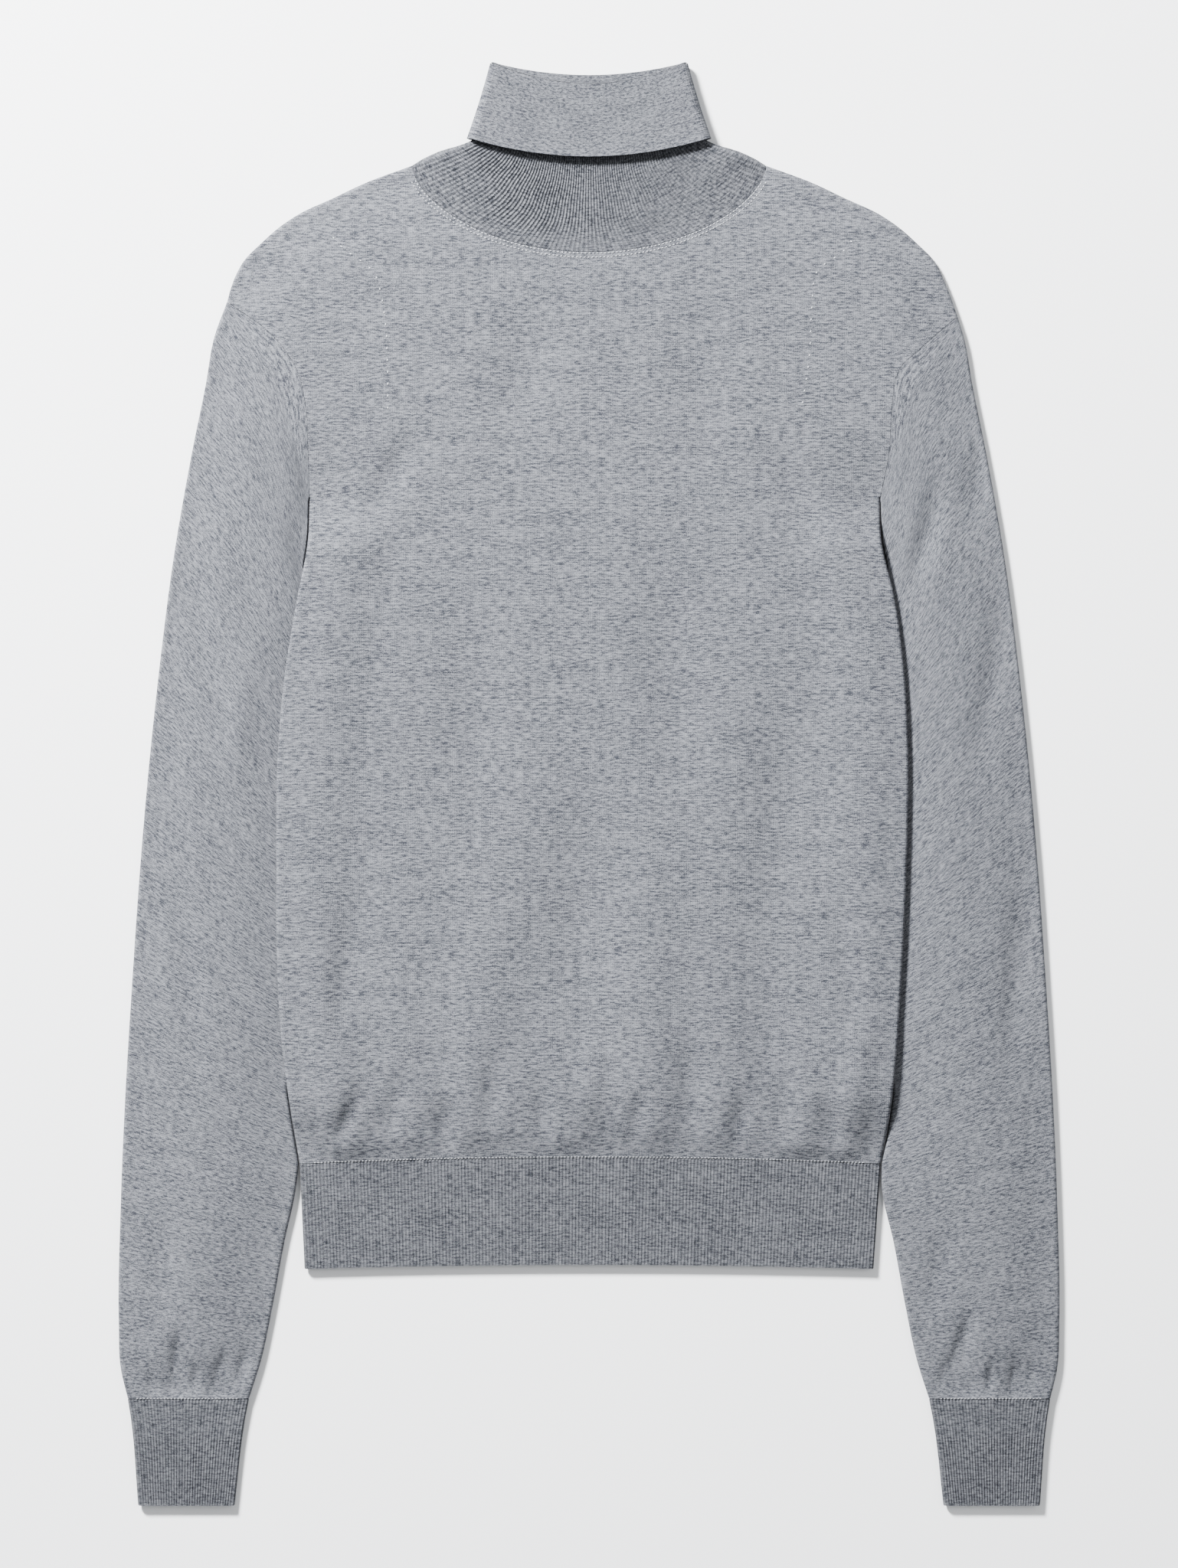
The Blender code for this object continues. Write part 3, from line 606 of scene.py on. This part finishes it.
def body_extra(points, distance):
    """How much higher than its folded edges the front lies."""
    pressed = 1 - ease((points[:, 1] - SIDE["y"][0]) / 45)
    ridges = RIDGE_DEPTH * folds(points, BODY_FOLDS, SIDE["y"][0]) * ease(distance / PUFF_REACH)
    small = creases(points, "front") * ease(distance / PUFF_REACH * 2)
    return np.maximum(puffed(distance, pressed) + ridges + small, -DEEPEST_FOLD)


def make_body(material):
    for name, drop, upper in (("front", NECK_DROP_FRONT, True), ("back", NECK_DROP_BACK, False)):
        grid = body_grid(drop)
        flat = grid.reshape(-1, 2)
        distance, away = nearest_edge(flat, body_edges(), BODY_CENTRE)
        away.reshape(grid.shape)[-1, NECK_COLUMNS] = row_distance(grid[-1:, NECK_COLUMNS])[1]
        moved = clear_of_seams(grid).reshape(-1, 2)
        outer, inner = layer(moved, distance, away, body_extra(flat, distance), lifted(flat), upper, JERSEY)
        cloth_wall(name, as_grid(outer, grid), as_grid(inner, grid), material, closed=False)


def as_grid(points, grid):
    return points.reshape(*grid.shape[:2], 3)


def row_distance(grid):
    """Each point's distance along its row from the nearer end, and the direction from that end into the row."""
    steps = np.linalg.norm(np.diff(grid, axis=1), axis=2)
    from_first = np.concatenate([np.zeros((len(grid), 1)), np.cumsum(steps, axis=1)], axis=1)
    from_last = from_first[:, -1:] - from_first
    along = np.gradient(grid, axis=1)
    along /= np.linalg.norm(along, axis=2)[:, :, None]
    nearer_first = (from_first <= from_last)[:, :, None]
    return np.minimum(from_first, from_last).reshape(-1), np.where(nearer_first, along, -along).reshape(-1, 2)


RIB_PITCH = 2.1  # between the ribs of the waistband and cuffs
BAND_RIB = 0.26  # height of those ribs, above and below the wall's middle
COLLAR_RIB = 0.34  # and of the collar's
COLUMNS_A_RIB = 4
COLLAR_RINGS_A_ROW = 3


def rib_wave(outer):
    """1 on top of a rib and -1 between two, for each column."""
    return np.cos(np.arange(outer.shape[1]) * 2 * math.pi / COLUMNS_A_RIB)


def ribbed(outer, inner, height):
    """The outer face with a rib to every few columns, square to the wall."""
    square = outer - inner
    square /= np.linalg.norm(square, axis=2)[:, :, None]
    wave = rib_wave(outer)
    fade = np.ones(len(outer))
    fade[0] = fade[-1] = 0
    return outer + square * (wave[None] * fade[:, None] * height - height)[:, :, None]


def flattened_tube(name, grid, moved, extra, material, thickness, rib=0):
    """A tube that lies flat: an upper and a lower layer over one grid, whose rows run from fold to fold."""
    distance, away = row_distance(grid)
    base = np.zeros(len(distance))
    halves = []
    for upper in (True, False):
        walls = layer(moved.reshape(-1, 2), distance, away, extra, base, upper, thickness)
        halves.append([as_grid(wall, grid) for wall in walls])
    outer, inner = (closed_rows(upper, lower) for upper, lower in zip(*halves))
    if rib:
        outer = ribbed(outer, inner, rib)
    cloth_wall(name, outer, inner, material, closed=True, wave=rib_wave(outer) if rib else None)


def closed_rows(upper, lower):
    """Rings made of the upper layer's rows and back along the lower layer's, joined at both folded edges."""
    ends = (upper[:, [0, -1]] + lower[:, [0, -1]]) / 2
    return np.concatenate([ends[:, :1], upper[:, 1:-1], ends[:, 1:], lower[:, -2:0:-1]], axis=1)


def make_waistband(material):
    ends = [SIDE["right"][0], SIDE["left"][0]]
    width = ends[1] - ends[0]
    spans = COLUMNS_A_RIB * round(width / RIB_PITCH)
    x = ends[0] + with_fold_steps(width, spans)
    s = (2 * x - ends[0] - ends[1]) / width
    top = np.stack([x, SIDE["y"][0] + HEM_SEAM_RISE * (1 - s * s)], axis=1)
    bottom_x = -BAND_BOTTOM_HALF_WIDTH + with_fold_steps(2 * BAND_BOTTOM_HALF_WIDTH, spans)
    bottom = np.stack([bottom_x, BAND_BOTTOM_Y + BAND_BOTTOM_RISE * (1 - s * s)], axis=1)
    shares = np.concatenate([[0, 0.01], np.linspace(0.03, 0.97, 12), [0.99, 1]])
    grid = np.stack([bottom + (top - bottom) * share for share in shares])
    moved = grid.copy()
    moved[-1] = set_back(grid[-1], (0, BAND_BOTTOM_Y))
    distance, _ = nearest_edge(top, body_edges(), BODY_CENTRE)
    at_seam = body_extra(top, distance)
    extra = np.concatenate([at_seam * share for share in shares])
    flattened_tube("waistband", grid, moved, extra, material, RIB, BAND_RIB)


def sleeve_inner_points(side):
    """The inner folded edge of a sleeve at its rows: at the body's own rows, and then on down to the cuff."""
    sign = 1 if side == "left" else -1
    path, folded = side_path(side)
    beside = on_path(path, side_distances(side)[: ROWS_BELOW_ARM + 1])[::-1]
    y = beside[1:, 1]
    under = (TUCK + SLEEVE_CLEARANCE) * ease((138 - y) / 42) * ease((y + 194) / 50) - SLEEVE_CLEARANCE
    beside[1:, 0] -= sign * under
    last = beside[-1]
    ys = [last[1]] + SLEEVE_INNER_LOWER["y"]
    xs = [sign * last[0]] + SLEEVE_INNER_LOWER["x"]
    below = np.array(STATIONS_BELOW_BODY, float)
    return np.concatenate([beside, np.stack([sign * smooth_value(below, ys, xs), below], axis=1)])


def sleeve_outer_points(side, shares):
    """The outer folded edge of a sleeve, from the point of the shoulder, at these shares of its length."""
    sign = 1 if side == "left" else -1
    outer = smooth_path(
        [ARMHOLE[side][-1]] + [(sign * x, y) for x, y in zip(SLEEVE_OUTER["x"], SLEEVE_OUTER["y"])]
    )
    return on_path(outer, shares * length_along(outer)[-1])


def make_sleeve(side, material):
    inner = sleeve_inner_points(side)
    shares = length_along(inner) / length_along(inner)[-1]
    outer = sleeve_outer_points(side, shares)
    seam = smooth_path(ARMHOLE[side])[::-1]
    seam_steps = with_fold_steps(length_along(seam)[-1], SLEEVE_COLUMNS)
    rows = [on_path(seam, seam_steps)]
    bow = rows[0] - rows[0][0] - (seam_steps / seam_steps[-1])[:, None] * (rows[0][-1] - rows[0][0])
    for a, b, share in zip(outer[1:], inner[1:], shares[1:]):
        width = np.linalg.norm(b - a)
        steps = with_fold_steps(width, SLEEVE_COLUMNS)[:, None] / width
        rows.append(a + steps * (b - a) + bow * (1 - ease(share / BOWED_SHARE)) / 2)
    grid = np.stack(rows)
    moved = grid.copy()
    moved[0] = set_back(grid[0], grid[len(grid) // 4, len(seam_steps) // 2])
    moved[-1, :, 1] += SEAM_GAP / 2
    flat = grid.reshape(-1, 2)
    distance, _ = row_distance(grid)
    pressed = 1 - ease((flat[:, 1] - CUFF_SEAM_Y) / 35)
    troughs = folds(flat, SLEEVE_FOLDS[side], CUFF_SEAM_Y) * ease(distance / PUFF_REACH * 2)
    small = creases(flat, f"sleeve_{side}") * ease(distance / PUFF_REACH * 4)
    extra = np.maximum(puffed(distance, pressed) + troughs + small, -DEEPEST_FOLD)
    flattened_tube(f"sleeve_{side}", grid, moved, extra, material, JERSEY)


def make_cuff(side, material):
    sign = 1 if side == "left" else -1
    rows = []
    spans = COLUMNS_A_RIB * round((CUFF["outer"][0] - CUFF["inner"][0]) / RIB_PITCH)
    ys = CUFF["y"][0] + (CUFF["y"][-1] - CUFF["y"][0]) * np.concatenate(
        [[0, 0.01], np.linspace(0.04, 0.96, 12), [0.99, 1]]
    )
    for y, outer_x, inner_x in zip(
        ys, *(smooth_value(ys, CUFF["y"], CUFF[edge]) for edge in ("outer", "inner"))
    ):
        steps = with_fold_steps(outer_x - inner_x, spans)
        rows.append(np.stack([sign * (outer_x - steps), np.full(len(steps), y)], axis=1))
    grid = np.stack(rows)
    moved = grid.copy()
    moved[0, :, 1] -= SEAM_GAP / 2
    distance, _ = row_distance(grid)
    share = (grid[:, :, 1].reshape(-1) - CUFF["y"][-1]) / (CUFF["y"][0] - CUFF["y"][-1])
    flattened_tube(f"cuff_{side}", grid, moved, puffed(distance, 1) * share, material, RIB, BAND_RIB)


def neck_seam_rings():
    """The collar's first ring, along the neck seams of front and back: its outer and its inner face."""
    halves, seams = [], []
    for drop, upper in ((NECK_DROP_FRONT, True), (NECK_DROP_BACK, False)):
        neck = neckline(drop)
        flat = on_path(neck, with_fold_steps(length_along(neck)[-1], 2 * COLLAR_COLUMNS))
        distance, _ = nearest_edge(flat, body_edges(), BODY_CENTRE)
        _, away = row_distance(flat[None])
        seams.append(set_back(flat, (0, NECK_Y)))
        halves.append(layer(seams[-1], distance, away, body_extra(flat, distance), lifted(flat), upper, RIB))
    outer, inner = (closed_ring(upper, lower) for upper, lower in zip(*halves))
    front, back = seams
    # The corners are clear of the front and of the back
    for end, ring_index in ((0, 0), (-1, len(front) - 1)):
        outer[ring_index] = (front[end, 0], back[end, 1], FOLD_RADIUS)
        inner[ring_index] = outer[ring_index] + RIB * np.array([-0.95 * np.sign(front[end, 0]), 0.3, 0])
    return outer, inner


def collar_ring(half_width, side_y, front_drop, back_drop, front_z, back_z, columns):
    """One ring of the collar: a flattened oval whose front and back hang by their drops at the middle."""
    radius, middle_z = (front_z - back_z) / 2, (front_z + back_z) / 2
    straight = half_width - radius
    turn = [math.radians(a) for a in FOLD_ANGLES]
    x = [-straight - radius * math.cos(a) for a in turn]
    x += list(np.linspace(-straight, straight, 2 * columns + 1)[1:-1])
    x += [straight + radius * math.cos(a) for a in reversed(turn)]
    rise = (
        [radius * math.sin(a) for a in turn]
        + [radius] * (2 * columns - 1)
        + [radius * math.sin(a) for a in reversed(turn)]
    )
    x, rise = np.array(x), np.array(rise)
    hang = 1 - (x / half_width) ** 2
    front = np.column_stack([x, side_y - front_drop * hang, middle_z + rise])
    back = np.column_stack([x, side_y - back_drop * hang, middle_z - rise])
    return front, back


def closed_ring(front, back):
    return closed_rows(front[None], back[None])[0]


def smooth_rings(at, rings):
    """Rings between the given ones, on a smooth curve through each column's points."""
    slope = np.gradient(rings, axis=0)
    i = np.clip(at.astype(int), 0, len(rings) - 2)
    t = (at - i)[:, None, None]
    return (
        (2 * t**3 - 3 * t**2 + 1) * rings[i]
        + (t**3 - 2 * t**2 + t) * slope[i]
        + (3 * t**2 - 2 * t**3) * rings[i + 1]
        + (t**3 - t**2) * slope[i + 1]
    )


def make_collar(material):
    first_outer, first_inner = neck_seam_rings()
    rings = [(first_outer + first_inner) / 2]
    for values in zip(*COLLAR.values()):
        rings.append(closed_ring(*collar_ring(*values, COLLAR_COLUMNS)))
    coarse = np.stack(rings)
    at = np.linspace(0, len(coarse) - 1, (len(coarse) - 1) * COLLAR_RINGS_A_ROW + 1)
    middle = smooth_rings(at, coarse)
    around = np.roll(middle, -1, axis=1) - np.roll(middle, 1, axis=1)
    along = np.gradient(middle, axis=0)
    normal = np.cross(around, along)
    normal *= RIB / 2 / np.linalg.norm(normal, axis=2)[:, :, None]
    outwards = np.sign(normal[1, COLLAR_COLUMNS + 2, 2])
    outer, inner = middle + outwards * normal, middle - outwards * normal
    outer[0], inner[0] = first_outer, first_inner
    outer = ribbed(outer, inner, COLLAR_RIB)
    outer[0] = first_outer
    cloth_wall("collar", outer, inner, material, closed=True, wave=rib_wave(outer))


# ---- stitches that show ------------------------------------------------------------------------------------


def beads(name, centres, along, size, material):
    """One mesh of small stitches: a faceted grain at each centre, its long way along the line."""
    length, width, height = size
    shape = np.array(
        [[1, 0, 0], [0, 1, 0], [-1, 0, 0], [0, -1, 0], [0, 0, 1], [0, 0, -1]]
    ) * [length / 2, width / 2, height / 2]
    sides = [(0, 1, 4), (1, 2, 4), (2, 3, 4), (3, 0, 4), (1, 0, 5), (2, 1, 5), (3, 2, 5), (0, 3, 5)]
    points, faces = [], []
    for centre, way in zip(centres, along):
        way = way / np.linalg.norm(way)
        side = np.cross((0, 0, 1), way)
        side /= np.linalg.norm(side)
        turned = shape @ np.stack([way, side, np.cross(way, side)])
        faces += [tuple(i + len(points) for i in face) for face in sides]
        points += list((centre + turned) * MM)
    mesh = bpy.data.meshes.new(name)
    mesh.from_pydata([tuple(p) for p in points], [], faces)
    mesh.materials.append(material)
    mesh.shade_smooth()
    piece = bpy.data.objects.new(name, mesh)
    bpy.context.scene.collection.objects.link(piece)
    return piece


def row_of_points(line, pitch):
    """Points this far apart along a line in space, and the line's direction at each."""
    along = np.concatenate([[0], np.cumsum(np.linalg.norm(np.diff(line, axis=0), axis=1))])
    at = np.arange(pitch, along[-1] - pitch, pitch)
    points = np.stack([np.interp(at, along, line[:, k]) for k in range(3)], axis=1)
    return points, np.gradient(points, axis=0)


LINK_PITCH = 2.1
CHAIN_PITCH = 2.4
MARK_PITCH = 7.3


def upper_half(ring):
    """The upper layer's part of a closed ring, from fold to fold."""
    return ring[: len(ring) // 2 + 1]


# The marks' distance from the side, in grid columns. It is too far in: they belong beside the armhole's seam.
MARKS_INWARDS = 14


def make_stitches(material):
    """The linking stitches above the waistband and cuffs, the chain round the neck and the fashioning marks."""
    made = {}
    lines = {"waistband_linking": OUTER["front"][0][8:-8] + (0, 0.2, 0.1)}
    for side in ("left", "right"):
        ring = upper_half(OUTER[f"sleeve_{side}"][-1])
        lines[f"cuff_linking_{side}"] = ring[8:-8] + (0, 0, 0.1)
    for name, line in lines.items():
        points, way = row_of_points(line, LINK_PITCH)
        made[name] = beads(name, points, way, (1.5, 0.8, 0.5), material)
    neck = OUTER["front"][-1, NECK_COLUMNS][2:-2]
    outwards = neck[:, :2] - (0, NECK_Y + 30)
    outwards /= np.linalg.norm(outwards, axis=1)[:, None]
    chain = []
    for away in (0.8, 3.2):
        line = neck + np.column_stack([outwards * away, np.full(len(neck), 0.15)])
        chain.append(row_of_points(line, CHAIN_PITCH))
    points, way = (np.concatenate(parts) for parts in zip(*chain))
    made["neck_chain"] = beads("neck_chain", points, way, (1.9, 0.9, 0.5), material)
    for side, column, inwards in (("right", 0, 1), ("left", -1, -1)):
        first = MARKS_INWARDS * FINE
        line = OUTER["front"][ROWS_BELOW_ARM + 2 : -8, column + inwards * first]
        points, way = row_of_points(line, MARK_PITCH)
        made[f"fashioning_marks_{side}"] = beads(
            f"fashioning_marks_{side}", points, way, (2.2, 1.2, 0.5), material
        )
    return made


# ---- materials ---------------------------------------------------------------------------------------------


def socket(group, name, kind, way, value=None):
    made = group.interface.new_socket(name=name, in_out=way, socket_type=kind)
    if value is not None:
        made.default_value = value
    return made


def math_node(tree, operation, a, b=None):
    node = tree.nodes.new("ShaderNodeMath")
    node.operation = operation
    for k, value in enumerate((a, b)):
        if value is None:
            continue
        if isinstance(value, (int, float)):
            node.inputs[k].default_value = value
        else:
            tree.links.new(value, node.inputs[k])
    return node.outputs[0]


def noise(tree, vector, scale, detail, roughness=0.5):
    node = tree.nodes.new("ShaderNodeTexNoise")
    node.inputs["Scale"].default_value = scale
    node.inputs["Detail"].default_value = detail
    node.inputs["Roughness"].default_value = roughness
    tree.links.new(vector, node.inputs["Vector"])
    return node.outputs["Fac"]


def knit_group():
    """The knit's stitches as a height, and the yarn's mixed greys as a shade; both about 0 to 1."""
    group = bpy.data.node_groups.new("Fine knit", "ShaderNodeTree")
    socket(group, "Place", "NodeSocketVector", "INPUT")
    socket(group, "Wale pitch", "NodeSocketFloat", "INPUT", 0.00143)
    socket(group, "Course pitch", "NodeSocketFloat", "INPUT", 0.00107)
    socket(group, "Height", "NodeSocketFloat", "OUTPUT")
    socket(group, "Shade", "NodeSocketFloat", "OUTPUT")
    given, out = group.nodes.new("NodeGroupInput"), group.nodes.new("NodeGroupOutput")
    split = group.nodes.new("ShaderNodeSeparateXYZ")
    group.links.new(given.outputs["Place"], split.inputs[0])
    wale = math_node(group, "DIVIDE", split.outputs[0], given.outputs["Wale pitch"])
    course = math_node(group, "DIVIDE", split.outputs[1], given.outputs["Course pitch"])
    vee = math_node(group, "PINGPONG", wale, 0.5)
    slanted = math_node(group, "ADD", course, math_node(group, "MULTIPLY", vee, 1.2))
    loops = math_node(group, "SINE", math_node(group, "MULTIPLY", slanted, 2 * math.pi))
    leg = math_node(group, "SINE", math_node(group, "MULTIPLY", vee, 2 * math.pi))
    height = math_node(
        group,
        "MULTIPLY",
        math_node(group, "ABSOLUTE", leg),
        math_node(group, "ADD", math_node(group, "MULTIPLY", loops, 0.35), 0.65),
    )
    group.links.new(height, out.inputs["Height"])
    stretch = group.nodes.new("ShaderNodeMapping")
    stretch.inputs["Scale"].default_value = (0.22, 1.0, 1.0)
    group.links.new(given.outputs["Place"], stretch.inputs["Vector"])
    streaks = noise(group, stretch.outputs[0], 900, 3, 0.7)
    flecks = noise(group, given.outputs["Place"], 1500, 1)
    soft = noise(group, stretch.outputs[0], 120, 3, 0.6)
    shade = math_node(
        group,
        "ADD",
        math_node(group, "MULTIPLY", streaks, 0.6),
        math_node(group, "MULTIPLY", flecks, 0.28),
    )
    shade = math_node(group, "ADD", shade, math_node(group, "MULTIPLY", soft, 0.12))
    group.links.new(shade, out.inputs["Shade"])
    return group


DARK_YARN, LIGHT_YARN = (0.026, 0.0285, 0.036), (0.185, 0.192, 0.212)
GROOVE_SHADE = 0.42  # how much darker the knit is painted between two ribs: painted shade in the grooves


def yarn_material(name, group, wale, course, bump, tone_and_painted_shade=1.0):
    material = bpy.data.materials.new(name)
    material.use_nodes = True
    tree = material.node_tree
    shader = tree.nodes["Principled BSDF"]
    place = tree.nodes.new("ShaderNodeUVMap")
    place.uv_map = "knit"
    knit = tree.nodes.new("ShaderNodeGroup")
    knit.node_tree = group
    knit.inputs["Wale pitch"].default_value = wale
    knit.inputs["Course pitch"].default_value = course
    tree.links.new(place.outputs[0], knit.inputs["Place"])
    ramp = tree.nodes.new("ShaderNodeMapRange")
    ramp.inputs["From Min"].default_value = 0.42
    ramp.inputs["From Max"].default_value = 0.58
    tree.links.new(knit.outputs["Shade"], ramp.inputs["Value"])
    # The yarn's mixed greys, darkened where the stitches' height is low: painted shade between the stitches.
    depth = math_node(
        tree,
        "MULTIPLY",
        ramp.outputs[0],
        math_node(tree, "ADD", math_node(tree, "MULTIPLY", knit.outputs["Height"], 0.35), 0.65),
    )
    mix = tree.nodes.new("ShaderNodeMix")
    mix.data_type = "RGBA"
    tree.links.new(depth, mix.inputs["Factor"])
    # Both yarn colours scaled down for a darker piece: its own tone and painted shade together.
    mix.inputs[6].default_value = (*(c * tone_and_painted_shade for c in DARK_YARN), 1)
    mix.inputs[7].default_value = (*(c * tone_and_painted_shade for c in LIGHT_YARN), 1)
    # Painted shade in the rib's grooves: the colour is darker where rib_height is low, between two ribs.
    height = tree.nodes.new("ShaderNodeAttribute")
    height.attribute_name = "rib_height"
    painted_groove_shade = math_node(
        tree, "ADD", math_node(tree, "MULTIPLY", height.outputs["Fac"], GROOVE_SHADE / 2), 1 - GROOVE_SHADE / 2
    )
    grooved = tree.nodes.new("ShaderNodeVectorMath")
    grooved.operation = "SCALE"
    tree.links.new(mix.outputs[2], grooved.inputs[0])
    tree.links.new(painted_groove_shade, grooved.inputs["Scale"])
    tree.links.new(grooved.outputs[0], shader.inputs["Base Color"])
    raised = tree.nodes.new("ShaderNodeBump")
    raised.inputs["Strength"].default_value = bump
    raised.inputs["Distance"].default_value = 0.0004
    tree.links.new(knit.outputs["Height"], raised.inputs["Height"])
    tree.links.new(raised.outputs[0], shader.inputs["Normal"])
    shader.inputs["Roughness"].default_value = 0.9
    shader.inputs["Specular IOR Level"].default_value = 0.05
    shader.inputs["Sheen Weight"].default_value = 0.04
    shader.inputs["Sheen Roughness"].default_value = 0.5
    return material


def plain_material(name, colour, roughness):
    material = bpy.data.materials.new(name)
    material.use_nodes = True
    shader = material.node_tree.nodes["Principled BSDF"]
    shader.inputs["Base Color"].default_value = (*colour, 1)
    shader.inputs["Roughness"].default_value = roughness
    return material


# ---- the sweater -------------------------------------------------------------------------------------------

knit = knit_group()
jersey = yarn_material("heather jersey", knit, 0.00143, 0.00107, 0.5)
# The rib is coloured darker than the jersey: partly its own tone, partly painted shade for the collar's
# hollows.
rib = yarn_material("heather rib", knit, 0.00210, 0.00110, 0.4, 0.82)
thread = plain_material("light linking yarn", (0.30, 0.31, 0.33), 0.9)

make_body(jersey)
make_waistband(rib)
make_collar(rib)
for side in ("right", "left"):
    make_sleeve(side, jersey)
    make_cuff(side, rib)
stitches = make_stitches(thread)

# Each shell hangs from the root in place of the frame's piece of the same name, and the stitches hang from the
# root too. The widths of the sleeves, waistband and cuffs are estimates, and the collar's size was fitted to
# its shell's area.
for name, piece in SHELLS.items():
    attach(piece, "root")
    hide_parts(name)
for name, piece in stitches.items():
    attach(piece, "root")

# ---- the studio --------------------------------------------------------------------------------------------

FLOOR_SIZE = 6.0
low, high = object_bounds()
floor_mesh = bpy.data.meshes.new("floor")
half, level = FLOOR_SIZE / 2, min(low[2], 0.0) - 0.0004
floor_mesh.from_pydata(
    [(-half, -half, level), (half, -half, level), (half, half, level), (-half, half, level)],
    [],
    [(0, 1, 2, 3)],
)
floor_mesh.materials.append(plain_material("pale studio floor", (0.86, 0.87, 0.885), 0.95))
floor = bpy.data.objects.new("floor", floor_mesh)
bpy.context.scene.collection.objects.link(floor)


def area_light(name, place, size, watts):
    light = bpy.data.lights.new(name, "AREA")
    light.size = size
    light.energy = watts
    lamp = bpy.data.objects.new(name, light)
    lamp.location = place
    direction = -np.array(place) / np.linalg.norm(place)
    lamp.rotation_euler = (math.acos(-direction[2]), 0, math.atan2(direction[1], direction[0]) - math.pi / 2)
    bpy.context.scene.collection.objects.link(lamp)


area_light("key light", (-1.5, 2.0, 1.6), 0.55, 700)
area_light("fill light", (1.8, 0.3, 2.2), 1.6, 30)
world = bpy.data.worlds.new("soft studio")
world.use_nodes = True
world.node_tree.nodes["Background"].inputs["Color"].default_value = (0.97, 0.985, 1, 1)
world.node_tree.nodes["Background"].inputs["Strength"].default_value = 0.50
bpy.context.scene.world = world

CAMERA_HEIGHT, PICTURE_HEIGHT, SENSOR = 3.2, 0.963, 36.0
camera = bpy.data.cameras.new("straight down")
camera.sensor_width = SENSOR
camera.lens = SENSOR * CAMERA_HEIGHT / PICTURE_HEIGHT
camera_object = bpy.data.objects.new("straight down", camera)
camera_object.location = (0, 0, CAMERA_HEIGHT)
bpy.context.scene.collection.objects.link(camera_object)
bpy.context.scene.camera = camera_object
